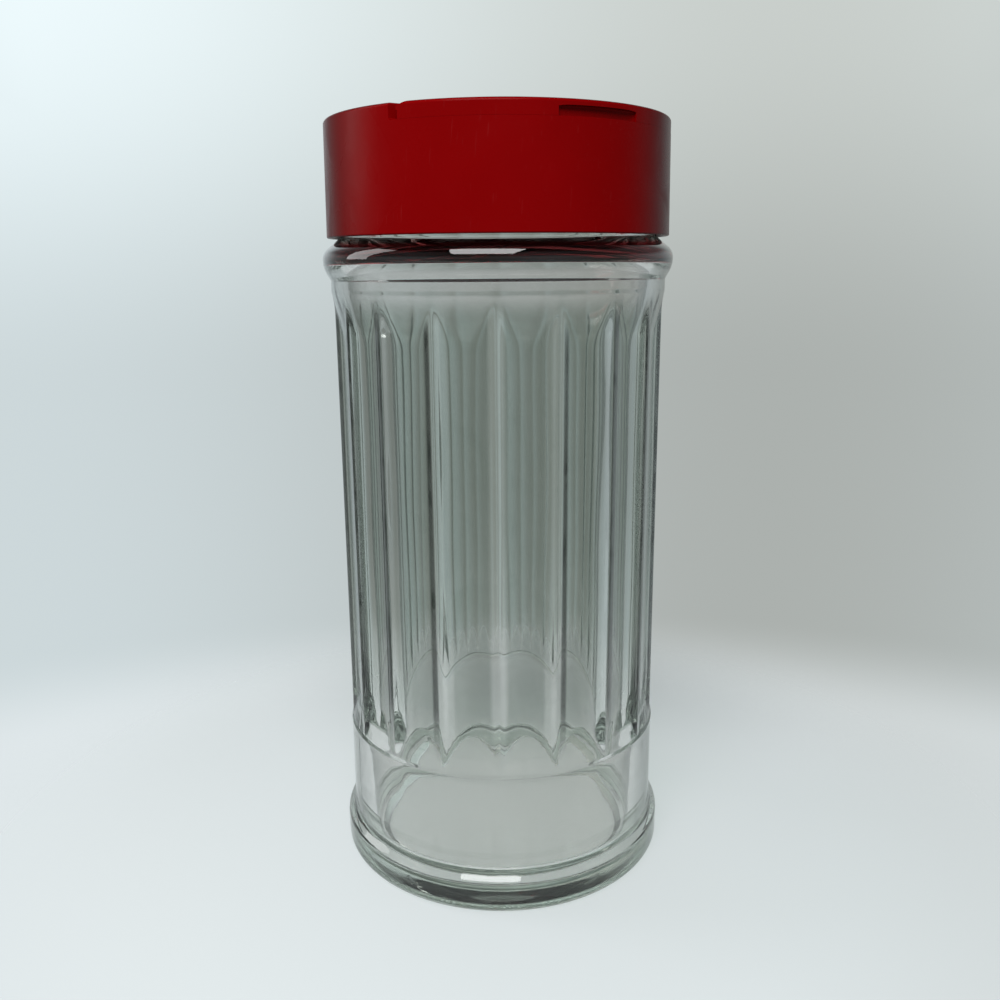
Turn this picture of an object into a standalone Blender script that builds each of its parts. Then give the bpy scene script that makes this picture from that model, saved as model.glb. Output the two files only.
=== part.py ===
"""A sweetener shaker: a fluted glass jar with a screw cap that has a pouring flap and a sprinkling flap.

Metres, +Z up. The origin is on the jar's axis, in the plane that the jar stands on. The pouring flap faces -Y.
"""

import math

import bmesh
import bpy
from mathutils import Matrix, Vector

MM = 0.001

# Clearances between pieces that meet
SEAT_GAP = 0.3 * MM  # one piece resting on another
CREST_CLEARANCE = 0.35 * MM  # a thread's crest to the wall that it runs along
PLUG_CLEARANCE = 0.45 * MM  # the pouring flap's plug rim to the edge of its opening
LINER_CLEARANCE = 0.4 * MM  # the liner's rim to the inside of the skirt

# Glass jar: heights of its zones, stacked from the table up
HEEL_HEIGHT = 12.0 * MM
PANEL_HEIGHT = 16.9 * MM
FLUTE_HEIGHT = 89.1 * MM
BAND_HEIGHT = 2.0 * MM
BEAD_HEIGHT = 6.7 * MM
NECK_ROOT_HEIGHT = 2.6 * MM
FINISH_HEIGHT = 13.5 * MM

# Glass jar: radii
HEEL_RADIUS = 34.2 * MM
PANEL_RADIUS = 32.5 * MM
RIDGE_RADIUS = 32.25 * MM
BAND_RADIUS = 32.8 * MM
BEAD_RADIUS = 34.2 * MM
NECK_RADIUS = 30.0 * MM

# Glass jar: flutes
FLUTE_COUNT = 18
FLUTE_DEPTH = 1.4 * MM  # from a ridge to the bottom of a flute
RIDGE_WIDTH = 1.8 * MM  # the part of the wall between two flutes that rounds outward
LOW_STEP = 1.2 * MM  # from the panel up to where the flutes' lower ends begin
LOW_RUN_OUT = 6.2 * MM  # height of the arch that ends a flute at the panel
HIGH_RUN_OUT = 8.4 * MM  # height of the slope that ends a flute at the band
RIDGE_PHASE = math.radians(7.5)  # where the first ridge stands, from -Y towards +X
COLUMNS_PER_FLUTE = 8  # an even number

# Glass jar: base, walls and mouth
BODY_WALL = 2.7 * MM  # at the bottom of a flute
NECK_WALL = 2.8 * MM
FLOOR_THICKNESS = 4.6 * MM
FLOOR_DOME = 0.8 * MM
FLOOR_FILLET = 2.5 * MM
PUSH_UP = 1.8 * MM  # height of the hollow under the base
STANDING_RING = 3.6 * MM  # width of the ring that the jar stands on
HEEL_BAND = 3.4 * MM  # height of the heel's upright face
HEEL_FILLET = 2.2 * MM
LIP_FILLET = 0.9 * MM
NECK_FLARE = 1.2 * MM  # how far the neck's root stands out from the neck

# Glass jar: the bead, and the shoulder inside it, which bulges out under a nearly flat ceiling
BEAD_LOW_SLOPE = 2.4 * MM  # height of the slope under the bead
BEAD_HIGH_SLOPE = 1.5 * MM  # height of the slope over it
BEAD_LOW_FILLET = 5.0 * MM
BEAD_HIGH_FILLET = 3.0 * MM
BEAD_WALL = 3.0 * MM
CEILING_DROP = 3.3 * MM  # from the bead's top down to the ceiling's outer edge
CEILING_RISE = 2.0 * MM  # from there up to its inner edge
THROAT_NARROWING = 0.6 * MM  # how far the ceiling's inner edge stands in from the bore
GROOVE_RISE = 1.1 * MM  # from the bead's lower end up to where the inside starts to bulge

# Screw thread, right-handed
THREAD_PITCH = 4.233 * MM
THREAD_TURNS = 1.25
THREAD_HEIGHT = 1.25 * MM
GLASS_THREAD_HALF_WIDTH = 1.1 * MM
CAP_THREAD_HALF_WIDTH = 0.8 * MM
THREAD_BELOW_LIP = 3.1 * MM  # from the lip to the middle of the glass thread's upper end
THREAD_ROOT = 0.6 * MM  # how deep a thread is rooted in its wall
THREAD_SUNK = 0.15 * MM  # how far a thread's ends lie under the wall's face
FLANK_SHARE = 0.7  # what the flanks take of the two half widths, where the threads face each other
THREAD_STEPS = 36  # in a turn
RUN_OUT_STEPS = 4  # of these, over which a thread rises out of its wall

# Cap shell
SKIRT_WALL = 1.4 * MM
SKIRT_DRAFT = 0.27 * MM  # how much wider the skirt is at its foot
SKIRT_ABOVE_BEAD = 1.2 * MM
LEAD_IN = 0.7 * MM  # chamfer inside the skirt's foot
CAP_FILLET = 0.6 * MM
DECK_THICKNESS = 1.5 * MM
POCKET_DEPTH = 2.8 * MM  # from the top of the cap down to the deck that the flaps close on
BRIDGE_HALF_WIDTH = 14.1 * MM
BRIDGE_WALL = 1.4 * MM
BRIDGE_RIB = 1.2 * MM
SEAL_LAND = 1.0 * MM  # flat margin that the deck keeps inside the jar's bore
LINER_RIB_WIDTH = 0.7 * MM
LINER_RIB_DEPTH = 1.0 * MM
CAP_COLUMNS = 72

# Hinges: thin webs that stand out of the bridge, each at the bottom of a groove
WEB_THICKNESS = 0.3 * MM
WEB_LENGTH = 1.05 * MM
WEB_BELOW_TOP = 0.9 * MM  # from the top of the cap to the middle of the web
GROOVE_WIDTH = 2.9 * MM
AXIS_TO_BRIDGE = 0.95 * MM
AXIS_TO_FLAP = 0.45 * MM

# Flaps
FLAP_PLATE = 1.4 * MM
FLAP_LIP_WIDTH = 1.4 * MM
FINGER_SLOT_HALF_ANGLE = math.radians(14.7)
FINGER_SLOT_DEPTH = 0.9 * MM
RIM_WALL = 0.9 * MM
RIM_ROOT = 0.35 * MM  # how deep a rim is rooted in its flap
PLUG_DEPTH = 0.45 * MM  # how far the plug rim goes into the pouring opening
SEAL_RIM_MARGIN = 1.3 * MM  # from the hinge's axis to the sprinkling flap's sealing rim

# Openings in the deck
OPENING_MARGIN = 2.9 * MM  # from the bridge to an opening
OPENING_FILLET = 2.0 * MM
HOLE_RADIUS = 1.5 * MM
HOLE_SPACING = 5.0 * MM
HOLE_ROW_SPACING = 4.2 * MM
HOLE_EDGE = 0.3 * MM  # from the openings' straight edge to the first row of holes
HOLES_IN_ROWS = (7, 4)  # counted out from the bridge
HOLE_SIDES = 12

# Liner
LINER_THICKNESS = 1.3 * MM
LINER_INSET = 0.2 * MM  # how far the liner stops short of the jar's bore

# Heights that follow
PANEL_TOP = HEEL_HEIGHT + PANEL_HEIGHT
FLUTES_TOP = PANEL_TOP + FLUTE_HEIGHT
BEAD_BOTTOM = FLUTES_TOP + BAND_HEIGHT
BEAD_TOP = BEAD_BOTTOM + BEAD_HEIGHT
NECK_BOTTOM = BEAD_TOP + NECK_ROOT_HEIGHT
LIP = NECK_BOTTOM + FINISH_HEIGHT
LINER_BOTTOM = LIP + SEAT_GAP
LINER_TOP = LINER_BOTTOM + LINER_THICKNESS
DECK_UNDERSIDE = LINER_TOP + SEAT_GAP
DECK = DECK_UNDERSIDE + DECK_THICKNESS
CAP_TOP = DECK + POCKET_DEPTH
SKIRT_FOOT = BEAD_TOP + SKIRT_ABOVE_BEAD
FLAP_LIP = DECK + SEAT_GAP
FLAP_UNDERSIDE = CAP_TOP - FLAP_PLATE
WEB_MIDDLE = CAP_TOP - WEB_BELOW_TOP
WEB_TOP = WEB_MIDDLE + WEB_THICKNESS / 2
GLASS_THREAD_TOP = LIP - THREAD_BELOW_LIP
CAP_THREAD_TOP = GLASS_THREAD_TOP - FLANK_SHARE * (GLASS_THREAD_HALF_WIDTH + CAP_THREAD_HALF_WIDTH) - SEAT_GAP

# Radii and places that follow
FLUTE_RADIUS = RIDGE_RADIUS - FLUTE_DEPTH
INSIDE_RADIUS = FLUTE_RADIUS - BODY_WALL
BORE_RADIUS = NECK_RADIUS - NECK_WALL
SKIRT_INSIDE = NECK_RADIUS + THREAD_HEIGHT + CREST_CLEARANCE
CAP_RADIUS = SKIRT_INSIDE + SKIRT_WALL
OPENING_RADIUS = BORE_RADIUS - SEAL_LAND
OPENING_EDGE = BRIDGE_HALF_WIDTH + OPENING_MARGIN
HINGE_Y = BRIDGE_HALF_WIDTH + AXIS_TO_BRIDGE
FLAP_EDGE = HINGE_Y + AXIS_TO_FLAP
GROOVE_EDGE = BRIDGE_HALF_WIDTH + GROOVE_WIDTH
CLEAR = 4.0 * MM  # how far a cutter stands clear of what it cuts

GLASS = ("glass", (0.86, 0.92, 0.89, 1.0), 0.04, 1.0)
RED = ("red_polypropylene", (0.23, 0.003, 0.004, 1.0), 0.35, 0.0)
FOAM = ("white_foam", (0.86, 0.85, 0.80, 1.0), 0.75, 0.0)


def material(name, colour, roughness, transmission):
    """The material of that name, made once."""
    found = bpy.data.materials.get(name)
    if found:
        return found
    made = bpy.data.materials.new(name)
    made.use_nodes = True
    shader = made.node_tree.nodes["Principled BSDF"]
    shader.inputs["Base Color"].default_value = colour
    shader.inputs["Roughness"].default_value = roughness
    shader.inputs["Metallic"].default_value = 0.0
    shader.inputs["Transmission Weight"].default_value = transmission
    return made


def placed(name, bm, origin=(0, 0, 0)):
    """An object made of bm, whose points are in the part's frame, with its origin at the place given."""
    bmesh.ops.recalc_face_normals(bm, faces=bm.faces)
    mesh = bpy.data.meshes.new(name)
    bm.to_mesh(mesh)
    bm.free()
    mesh.transform(Matrix.Translation(-Vector(origin)))
    mesh.shade_smooth()
    mesh.set_sharp_from_angle(angle=math.radians(32))
    obj = bpy.data.objects.new(name, mesh)
    obj.location = origin
    bpy.context.scene.collection.objects.link(obj)
    return obj


def piece(name, bm, look, origin=(0, 0, 0), parent=None):
    """A sub-part with its material."""
    obj = placed(name, bm, origin)
    obj.data.materials.append(material(*look))
    obj.parent = parent
    return obj


def change(body, operation, name, bm):
    """Cuts bm from a body, or joins it on, with a Boolean. The helper object moves with the body."""
    tool = placed(name, bm)
    tool.hide_render = True
    tool.display_type = "WIRE"
    tool.parent = body
    tool.matrix_parent_inverse = Matrix.Translation(-body.location)
    boolean = body.modifiers.new(name, "BOOLEAN")
    boolean.operation = operation
    boolean.object = tool


def cut(body, name, bm):
    change(body, "DIFFERENCE", f"{body.name}_{name}", bm)


def join(body, name, bm):
    change(body, "UNION", f"{body.name}_{name}", bm)


def shade_by_area(body):
    """Lets the large faces set the shading, so that cut edges look crisp."""
    shading = body.modifiers.new("shading", "WEIGHTED_NORMAL")
    shading.weight = 100


def along(first, last, steps):
    """Evenly spaced values from first to last, both included."""
    return [first + (last - first) * step / steps for step in range(steps + 1)]


def arc(radius, first, last, steps, centre=Vector((0, 0))):
    """Points on an arc from one angle to another. Angles run from -Y towards +X."""
    return [centre + radius * Vector((math.sin(a), -math.cos(a))) for a in along(first, last, steps)]


def rounded(corners):
    """The outline through corners (across, up, fillet radius), with an arc in place of each filleted one."""
    points = [Vector(corner[:2]) for corner in corners]
    outline = []
    for index, (_, _, fillet) in enumerate(corners):
        here = points[index]
        if not fillet:
            outline.append(here)
            continue
        back = points[index - 1] - here
        ahead = points[(index + 1) % len(points)] - here
        half_corner = back.angle(ahead) / 2
        reach = min(fillet / math.tan(half_corner), 0.48 * back.length, 0.48 * ahead.length)
        radius = reach * math.tan(half_corner)
        middle = here + (back.normalized() + ahead.normalized()).normalized() * radius / math.sin(half_corner)
        spoke = here + back.normalized() * reach - middle
        sweep = -spoke.angle_signed(here + ahead.normalized() * reach - middle)
        steps = max(2, math.ceil(abs(sweep) / math.radians(32)))
        outline += [middle + Matrix.Rotation(a, 2) @ spoke for a in along(0, sweep, steps)]
    return outline


def ring(bm, radius, height, columns, phase=0.0):
    """A ring of vertices, or one vertex on the axis."""
    if radius < 1e-9:
        return [bm.verts.new((0, 0, height))]
    points = arc(radius, phase, phase + math.tau, columns)[:-1]
    return [bm.verts.new((x, y, height)) for x, y in points]


def skin(bm, low, high):
    """Faces between two rings. One may have half the other's columns, or be a single vertex."""
    if len(low) < len(high):
        low, high = high, low
    for i, here in enumerate(low):
        ahead = low[(i + 1) % len(low)]
        if len(high) == 1:
            bm.faces.new((here, ahead, high[0]))
        elif len(high) == len(low):
            bm.faces.new((here, ahead, high[(i + 1) % len(low)], high[i]))
        elif i % 2 == 0:
            bm.faces.new((here, ahead, high[i // 2]))
        else:
            over = high[(i // 2 + 1) % len(high)]
            bm.faces.new((here, over, high[i // 2]))
            bm.faces.new((here, ahead, over))


def loft(bm, rings, closed=False):
    """Faces through all the rings in turn."""
    for low, high in zip(rings, rings[1:]):
        skin(bm, low, high)
    if closed:
        skin(bm, rings[-1], rings[0])


def revolve(outline, columns, closed=False):
    """A turned body: its outline, points (radius, height), taken round the Z axis."""
    bm = bmesh.new()
    loft(bm, [ring(bm, radius, height, columns) for radius, height in outline], closed)
    return bm


def block(low, high):
    """A box between two corners."""
    bm = bmesh.new()
    size = [b - a for a, b in zip(low, high)]
    middle = [(a + b) / 2 for a, b in zip(low, high)]
    bmesh.ops.create_cube(bm, size=1.0, matrix=Matrix.Translation(middle) @ Matrix.Diagonal((*size, 1.0)))
    return bm


def prism(outline, bottom, top):
    """A flat outline, points (x, y), raised from one height to another."""
    bm = bmesh.new()
    low, high = [[bm.verts.new((x, y, height)) for x, y in outline] for height in (bottom, top)]
    skin(bm, low, high)
    bm.faces.new(low)
    bm.faces.new(high)
    return bm


def rim(outer, inner, bottom, top):
    """A standing rim between two outlines that have as many points each."""
    bm = bmesh.new()
    corners = ((outer, bottom), (outer, top), (inner, top), (inner, bottom))
    loft(bm, [[bm.verts.new((x, y, height)) for x, y in outline] for outline, height in corners], closed=True)
    return bm


def segment(edge, radius, fillet):
    """The part of a disc beyond a straight edge at y = -edge, with its two corners rounded."""
    middle = Vector((math.sqrt((radius - fillet) ** 2 - (edge + fillet) ** 2), -edge - fillet))
    reach = math.atan2(middle.x, edge + fillet)
    corner = arc(fillet, math.pi, reach, 4, middle)
    return corner + arc(radius, reach, -reach, 12)[1:-1] + [(-x, y) for x, y in reversed(corner)]


def strip(half_width, radius):
    """The part of a disc between two straight edges at y = -half_width and y = half_width."""
    reach = math.asin(half_width / radius)
    right = arc(radius, math.pi / 2 - reach, math.pi / 2 + reach, 6)
    return right + [(-x, y) for x, y in reversed(right)]


def thread(wall_radius, outward, half_width, top_end):
    """A thread on a wall, standing outward (1) or inward (-1), that rises out of the wall and sinks back."""
    bm = bmesh.new()
    crest, slope = THREAD_HEIGHT, 0.75 * THREAD_HEIGHT
    profile = [(0, -half_width), (slope, -0.6 * half_width), (crest, 0), (slope, 0.6 * half_width), (0, half_width)]
    steps = round(THREAD_TURNS * THREAD_STEPS)
    sections = []
    for step in range(steps + 1):
        turn = (step - steps) / THREAD_STEPS
        risen = min(1.0, step / RUN_OUT_STEPS, (steps - step) / RUN_OUT_STEPS)
        heights = [(stand_out * risen - THREAD_SUNK * (1 - risen), up) for stand_out, up in profile]
        heights = [(-THREAD_ROOT, -half_width), *heights, (-THREAD_ROOT, half_width)]
        section = []
        for stand_out, up in heights:
            x, y = arc(wall_radius + outward * stand_out, math.tau * turn, 0, 1)[0]
            section.append(bm.verts.new((x, y, top_end + THREAD_PITCH * turn + up)))
        sections.append(section)
    loft(bm, sections)
    bm.faces.new(sections[0])
    bm.faces.new(sections[-1])
    return bm


def flute_wall(column):
    """The fluted wall's angle and radius at a column: hollow across a flute, rounded outward at a ridge."""
    flute, step = divmod(column, COLUMNS_PER_FLUTE)
    across = -math.cos(math.pi * step / COLUMNS_PER_FLUTE)
    angle = RIDGE_PHASE + math.tau / FLUTE_COUNT * (flute + (1 + across) / 2)
    ridge = RIDGE_WIDTH / (math.tau * RIDGE_RADIUS / FLUTE_COUNT)
    to_ridge = 1 - abs(across)
    if to_ridge < ridge:
        risen = 1 - to_ridge**2 / ridge
    else:
        risen = across**2 / (1 - ridge)
    return angle, FLUTE_RADIUS + FLUTE_DEPTH * risen


def fluted_rings(bm):
    """The two edges of the fluted zone, where the flutes run out into the panel and into the band."""
    low, high = [], []
    for column in range(FLUTE_COUNT * COLUMNS_PER_FLUTE):
        angle, radius = flute_wall(column)
        x, y = arc(radius, angle, 0, 1)[0]
        low_share = (PANEL_RADIUS - radius) / (PANEL_RADIUS - FLUTE_RADIUS)
        high_share = (BAND_RADIUS - radius) / (BAND_RADIUS - FLUTE_RADIUS)
        low.append(bm.verts.new((x, y, PANEL_TOP + LOW_STEP + low_share * LOW_RUN_OUT)))
        high.append(bm.verts.new((x, y, FLUTES_TOP - high_share * HIGH_RUN_OUT)))
    return [low, high]


def jar_base():
    """The jar's outside from the middle of the base, over the heel, to the top of the panel."""
    standing_radius = HEEL_RADIUS - HEEL_FILLET - STANDING_RING
    heel_top = HEEL_FILLET + HEEL_BAND
    return rounded([
        (0, PUSH_UP, 0),
        (standing_radius - 2 * PUSH_UP, PUSH_UP, 2 * PUSH_UP),
        (standing_radius, 0, 0.5 * PUSH_UP),
        (HEEL_RADIUS, 0, HEEL_FILLET),
        (HEEL_RADIUS, heel_top, HEEL_FILLET),
        (PANEL_RADIUS, HEEL_HEIGHT - HEEL_FILLET, HEEL_FILLET),
        (PANEL_RADIUS, PANEL_TOP, 0),
    ])


def jar_shoulder():
    """The jar's outside from the band, over the bead and up the neck, and across the lip."""
    return rounded([
        (BAND_RADIUS, FLUTES_TOP, 0),
        (BAND_RADIUS, BEAD_BOTTOM, 0),
        (BEAD_RADIUS, BEAD_BOTTOM + BEAD_LOW_SLOPE, BEAD_LOW_FILLET),
        (BEAD_RADIUS, BEAD_TOP - BEAD_HIGH_SLOPE, BEAD_HIGH_FILLET),
        (NECK_RADIUS + NECK_FLARE, BEAD_TOP + NECK_ROOT_HEIGHT / 3, NECK_FLARE),
        (NECK_RADIUS, NECK_BOTTOM, NECK_FLARE),
        (NECK_RADIUS, LIP, LIP_FILLET),
        (BORE_RADIUS, LIP, LIP_FILLET),
    ])


def jar_inside():
    """The jar's inside from the bore down to the middle of the floor."""
    floor = PUSH_UP + FLOOR_THICKNESS
    ceiling = BEAD_TOP - CEILING_DROP
    return rounded([
        (BORE_RADIUS, LIP - 2 * LIP_FILLET, 0),
        (BORE_RADIUS - THROAT_NARROWING, ceiling + CEILING_RISE, 0),
        (BEAD_RADIUS - BEAD_WALL, ceiling, 0),
        (BAND_RADIUS - BEAD_WALL, BEAD_BOTTOM + GROOVE_RISE, 0),
        (BAND_RADIUS - BEAD_WALL, FLUTES_TOP, 0),
        (INSIDE_RADIUS, FLUTES_TOP - HIGH_RUN_OUT, 0),
        (INSIDE_RADIUS, floor - FLOOR_DOME, FLOOR_FILLET),
        (0, floor, 0),
    ])


def glass_jar():
    """The jar, with its screw thread joined to the neck."""
    bm = bmesh.new()
    columns = FLUTE_COUNT * COLUMNS_PER_FLUTE

    def rings(outline, share):
        return [ring(bm, radius, height, columns // share, RIDGE_PHASE) for radius, height in outline]

    outside = rings(jar_base(), 2) + fluted_rings(bm) + rings(jar_shoulder(), 2)
    loft(bm, outside + rings(jar_inside(), 4))
    jar = piece("glass_jar", bm, GLASS)
    join(jar, "thread", thread(NECK_RADIUS, 1, GLASS_THREAD_HALF_WIDTH, GLASS_THREAD_TOP))
    shade_by_area(jar)


def cap_blank():
    """The cap's section before it is cut: the skirt, a top of full height, and the rib that centres the liner."""
    rib_outside = BORE_RADIUS + LINER_INSET - SEAT_GAP
    rib_inside = rib_outside - LINER_RIB_WIDTH
    return rounded([
        (0, CAP_TOP, 0),
        (CAP_RADIUS, CAP_TOP, CAP_FILLET),
        (CAP_RADIUS + SKIRT_DRAFT, SKIRT_FOOT, 0),
        (SKIRT_INSIDE + LEAD_IN, SKIRT_FOOT, 0),
        (SKIRT_INSIDE, SKIRT_FOOT + LEAD_IN, 0),
        (SKIRT_INSIDE, DECK_UNDERSIDE, LEAD_IN),
        (rib_outside, DECK_UNDERSIDE, 0),
        (rib_outside, DECK_UNDERSIDE - LINER_RIB_DEPTH, 0),
        (rib_inside, DECK_UNDERSIDE - LINER_RIB_DEPTH, 0),
        (rib_inside, DECK_UNDERSIDE, 0),
        (0, DECK_UNDERSIDE, 0),
    ])


def hollow_bridge(shell):
    """Hollows the raised bridge from below, and leaves two ribs across it."""
    inside = BRIDGE_HALF_WIDTH - BRIDGE_WALL
    ceiling = CAP_TOP - BRIDGE_WALL
    cut(shell, "bridge_hollow", prism(strip(inside, OPENING_RADIUS), DECK_UNDERSIDE - SEAT_GAP, ceiling))
    rib_end = inside + BRIDGE_WALL / 2
    for name, middle in (("left", -OPENING_RADIUS / 3), ("right", OPENING_RADIUS / 3)):
        low = (middle - BRIDGE_RIB / 2, -rib_end, DECK_UNDERSIDE)
        high = (middle + BRIDGE_RIB / 2, rib_end, ceiling + BRIDGE_WALL / 2)
        join(shell, f"{name}_rib", block(low, high))


def hole_cutters():
    """A pin for each of the sprinkling holes."""
    bm = bmesh.new()
    first_row = OPENING_EDGE + HOLE_EDGE + HOLE_RADIUS
    middle = (DECK + DECK_UNDERSIDE) / 2
    for row, count in enumerate(HOLES_IN_ROWS):
        for across in range(count):
            x = (across - (count - 1) / 2) * HOLE_SPACING
            bmesh.ops.create_cone(
                bm,
                cap_ends=True,
                segments=HOLE_SIDES,
                radius1=HOLE_RADIUS,
                radius2=HOLE_RADIUS,
                depth=2 * DECK_THICKNESS,
                matrix=Matrix.Translation((x, first_row + row * HOLE_ROW_SPACING, middle)),
            )
    return bm


def hinge_web(side):
    """A hinge's thin web, rooted in the bridge and standing out towards a flap."""
    root, tip = BRIDGE_HALF_WIDTH - BRIDGE_WALL / 2, BRIDGE_HALF_WIDTH + WEB_LENGTH
    half_length = math.sqrt((CAP_RADIUS - CAP_FILLET) ** 2 - tip**2)
    near, far = sorted((side * root, side * tip))
    return block((-half_length, near, WEB_TOP - WEB_THICKNESS), (half_length, far, WEB_TOP))


def cap_shell():
    """The cap's body: skirt, deck with its openings, raised bridge, inner thread and hinge webs."""
    shell = piece("cap_shell", revolve(cap_blank(), CAP_COLUMNS), RED)
    wide = CAP_RADIUS + CLEAR
    for side, name in ((-1, "pour"), (1, "sprinkle")):
        near, far = sorted((side * BRIDGE_HALF_WIDTH, side * wide))
        cut(shell, f"{name}_pocket", block((-wide, near, DECK), (wide, far, CAP_TOP + CLEAR)))
    hollow_bridge(shell)
    opening = segment(OPENING_EDGE, OPENING_RADIUS, OPENING_FILLET)
    cut(shell, "pour_opening", prism(opening, DECK_UNDERSIDE - SEAT_GAP, DECK + SEAT_GAP))
    cut(shell, "sprinkle_holes", hole_cutters())
    join(shell, "thread", thread(SKIRT_INSIDE, -1, CAP_THREAD_HALF_WIDTH, CAP_THREAD_TOP))
    join(shell, "pour_web", hinge_web(-1))
    join(shell, "sprinkle_web", hinge_web(1))
    shade_by_area(shell)
    return shell


def flap_blank():
    """A flap's section before it is cut: a plate with a lip that hangs from its edge, flush with the skirt."""
    lip_inside = CAP_RADIUS - FLAP_LIP_WIDTH
    return rounded([
        (0, CAP_TOP, 0),
        (CAP_RADIUS, CAP_TOP, CAP_FILLET),
        (CAP_RADIUS, FLAP_LIP, 0),
        (lip_inside, FLAP_LIP, 0),
        (lip_inside, FLAP_UNDERSIDE, 0),
        (0, FLAP_UNDERSIDE, 0),
    ])


def groove_cutter():
    """Slopes a flap's hinge edge, from the web's top out to the edge of the groove."""
    wide = CAP_RADIUS + CLEAR
    slope = Vector((GROOVE_EDGE - FLAP_EDGE, CAP_TOP - WEB_TOP))
    low = Vector((FLAP_EDGE, WEB_TOP)) - 2 * slope
    high = Vector((GROOVE_EDGE, CAP_TOP)) + 2 * slope
    bm = bmesh.new()
    left, right = [
        [bm.verts.new((x, -y, z)) for y, z in (low, high, (low.x, high.y))]
        for x in (-wide, wide)
    ]
    skin(bm, left, right)
    bm.faces.new(left)
    bm.faces.new(right)
    return bm


def finger_slot():
    """Recesses a flap's lip in the middle, where a fingertip lifts the plate's edge."""
    reach = FINGER_SLOT_HALF_ANGLE
    outside = arc(CAP_RADIUS + CLEAR, -reach, reach, 6)
    inside = arc(CAP_RADIUS - FINGER_SLOT_DEPTH, reach, -reach, 6)
    return prism(outside + inside, DECK, FLAP_UNDERSIDE)


def flap(name, shell, facing, rim_edge, rim_radius, rim_bottom):
    """A flap with its origin on its hinge's axis. It is shaped facing -Y, then turned to face its side."""
    axis = Vector((0, -HINGE_Y, WEB_MIDDLE))
    body = piece(name, revolve(flap_blank(), CAP_COLUMNS), RED, axis, shell)
    wide = CAP_RADIUS + CLEAR
    cut(body, "other_side", block((-wide, -FLAP_EDGE, DECK), (wide, wide, CAP_TOP + CLEAR)))
    cut(body, "lip_ends", block((-wide, -GROOVE_EDGE, DECK), (wide, 0, FLAP_UNDERSIDE)))
    cut(body, "groove", groove_cutter())
    cut(body, "finger_slot", finger_slot())
    outer = segment(rim_edge, rim_radius, OPENING_FILLET)
    inner = segment(rim_edge + RIM_WALL, rim_radius - RIM_WALL, OPENING_FILLET - RIM_WALL)
    join(body, "rim", rim(outer, inner, rim_bottom, FLAP_UNDERSIDE + RIM_ROOT))
    shade_by_area(body)
    body.location = Matrix.Rotation(facing, 4, "Z") @ axis
    body.rotation_euler.z = facing


def cap_liner(shell):
    """The ring that seals the deck against the jar's lip."""
    inner, outer = BORE_RADIUS + LINER_INSET, SKIRT_INSIDE - LINER_CLEARANCE
    section = [(inner, LINER_BOTTOM), (outer, LINER_BOTTOM), (outer, LINER_TOP), (inner, LINER_TOP)]
    piece("cap_liner", revolve(section, CAP_COLUMNS, closed=True), FOAM, parent=shell)


def build():
    for obj in list(bpy.data.objects):
        bpy.data.objects.remove(obj, do_unlink=True)
    glass_jar()
    shell = cap_shell()
    cap_liner(shell)
    plug_edge, plug_radius = OPENING_EDGE + PLUG_CLEARANCE, OPENING_RADIUS - PLUG_CLEARANCE
    flap("pour_flap", shell, 0.0, plug_edge, plug_radius, DECK - PLUG_DEPTH)
    seal_edge, seal_radius = HINGE_Y + SEAL_RIM_MARGIN, BORE_RADIUS + SEAL_LAND
    flap("sprinkle_flap", shell, math.pi, seal_edge, seal_radius, DECK + SEAT_GAP)


build()
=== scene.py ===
"""The looks of a sweetener shaker: a fluted glass jar with a red screw cap that has two flaps.

Metres, +Z up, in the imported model's frame: the origin is on the jar's axis, in the plane that it stands on.
"""

import math

import bmesh
import bpy
import numpy as np
from mathutils import Matrix, Vector


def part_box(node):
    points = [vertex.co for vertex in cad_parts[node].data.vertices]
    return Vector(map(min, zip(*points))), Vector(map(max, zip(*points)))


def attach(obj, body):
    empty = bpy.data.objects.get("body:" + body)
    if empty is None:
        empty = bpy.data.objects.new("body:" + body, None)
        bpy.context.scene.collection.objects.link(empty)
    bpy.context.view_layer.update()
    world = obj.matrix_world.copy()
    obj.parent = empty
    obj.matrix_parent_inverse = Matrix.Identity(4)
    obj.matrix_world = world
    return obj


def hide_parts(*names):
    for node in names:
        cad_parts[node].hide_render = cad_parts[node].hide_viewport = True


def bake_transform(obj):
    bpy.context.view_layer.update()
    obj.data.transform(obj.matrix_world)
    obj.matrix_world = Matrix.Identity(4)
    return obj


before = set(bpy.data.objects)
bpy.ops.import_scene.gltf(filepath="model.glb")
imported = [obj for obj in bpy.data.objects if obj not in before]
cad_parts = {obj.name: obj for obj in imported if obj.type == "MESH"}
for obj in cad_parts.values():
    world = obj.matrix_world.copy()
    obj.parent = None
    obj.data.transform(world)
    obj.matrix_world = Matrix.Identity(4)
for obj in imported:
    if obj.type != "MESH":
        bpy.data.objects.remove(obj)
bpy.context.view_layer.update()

MM = 0.001
ON_AXIS = 1e-6  # nearer to the axis than this, a ring is one point
ON_WALL = 0.01 * MM

# Sizes read from the solids
_, JAR_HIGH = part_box("glass_jar")
SHELL_LOW, SHELL_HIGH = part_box("cap_shell")
LINER_LOW, LINER_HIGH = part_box("cap_liner")
LIP = JAR_HIGH.z
HEEL_RADIUS = JAR_HIGH.x
BEAD_RADIUS = HEEL_RADIUS
SKIRT_FOOT = SHELL_LOW.z
CAP_TOP = SHELL_HIGH.z
SKIRT_RADIUS = SHELL_HIGH.x  # at the skirt's foot, its widest place

# Glass jar: heights
HEEL_TOP = 8.7 * MM
PANEL_TOP = 28.9 * MM
ARCH_FOOT = 29.3 * MM  # where the ridges sink into the slope under the flutes
ARCH_TOP = 36.3 * MM
FLUTES_TOP = 118.0 * MM
BEAD_BOTTOM = 120.0 * MM
BEAD_TOP = 126.7 * MM
NECK_BOTTOM = 129.3 * MM

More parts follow.
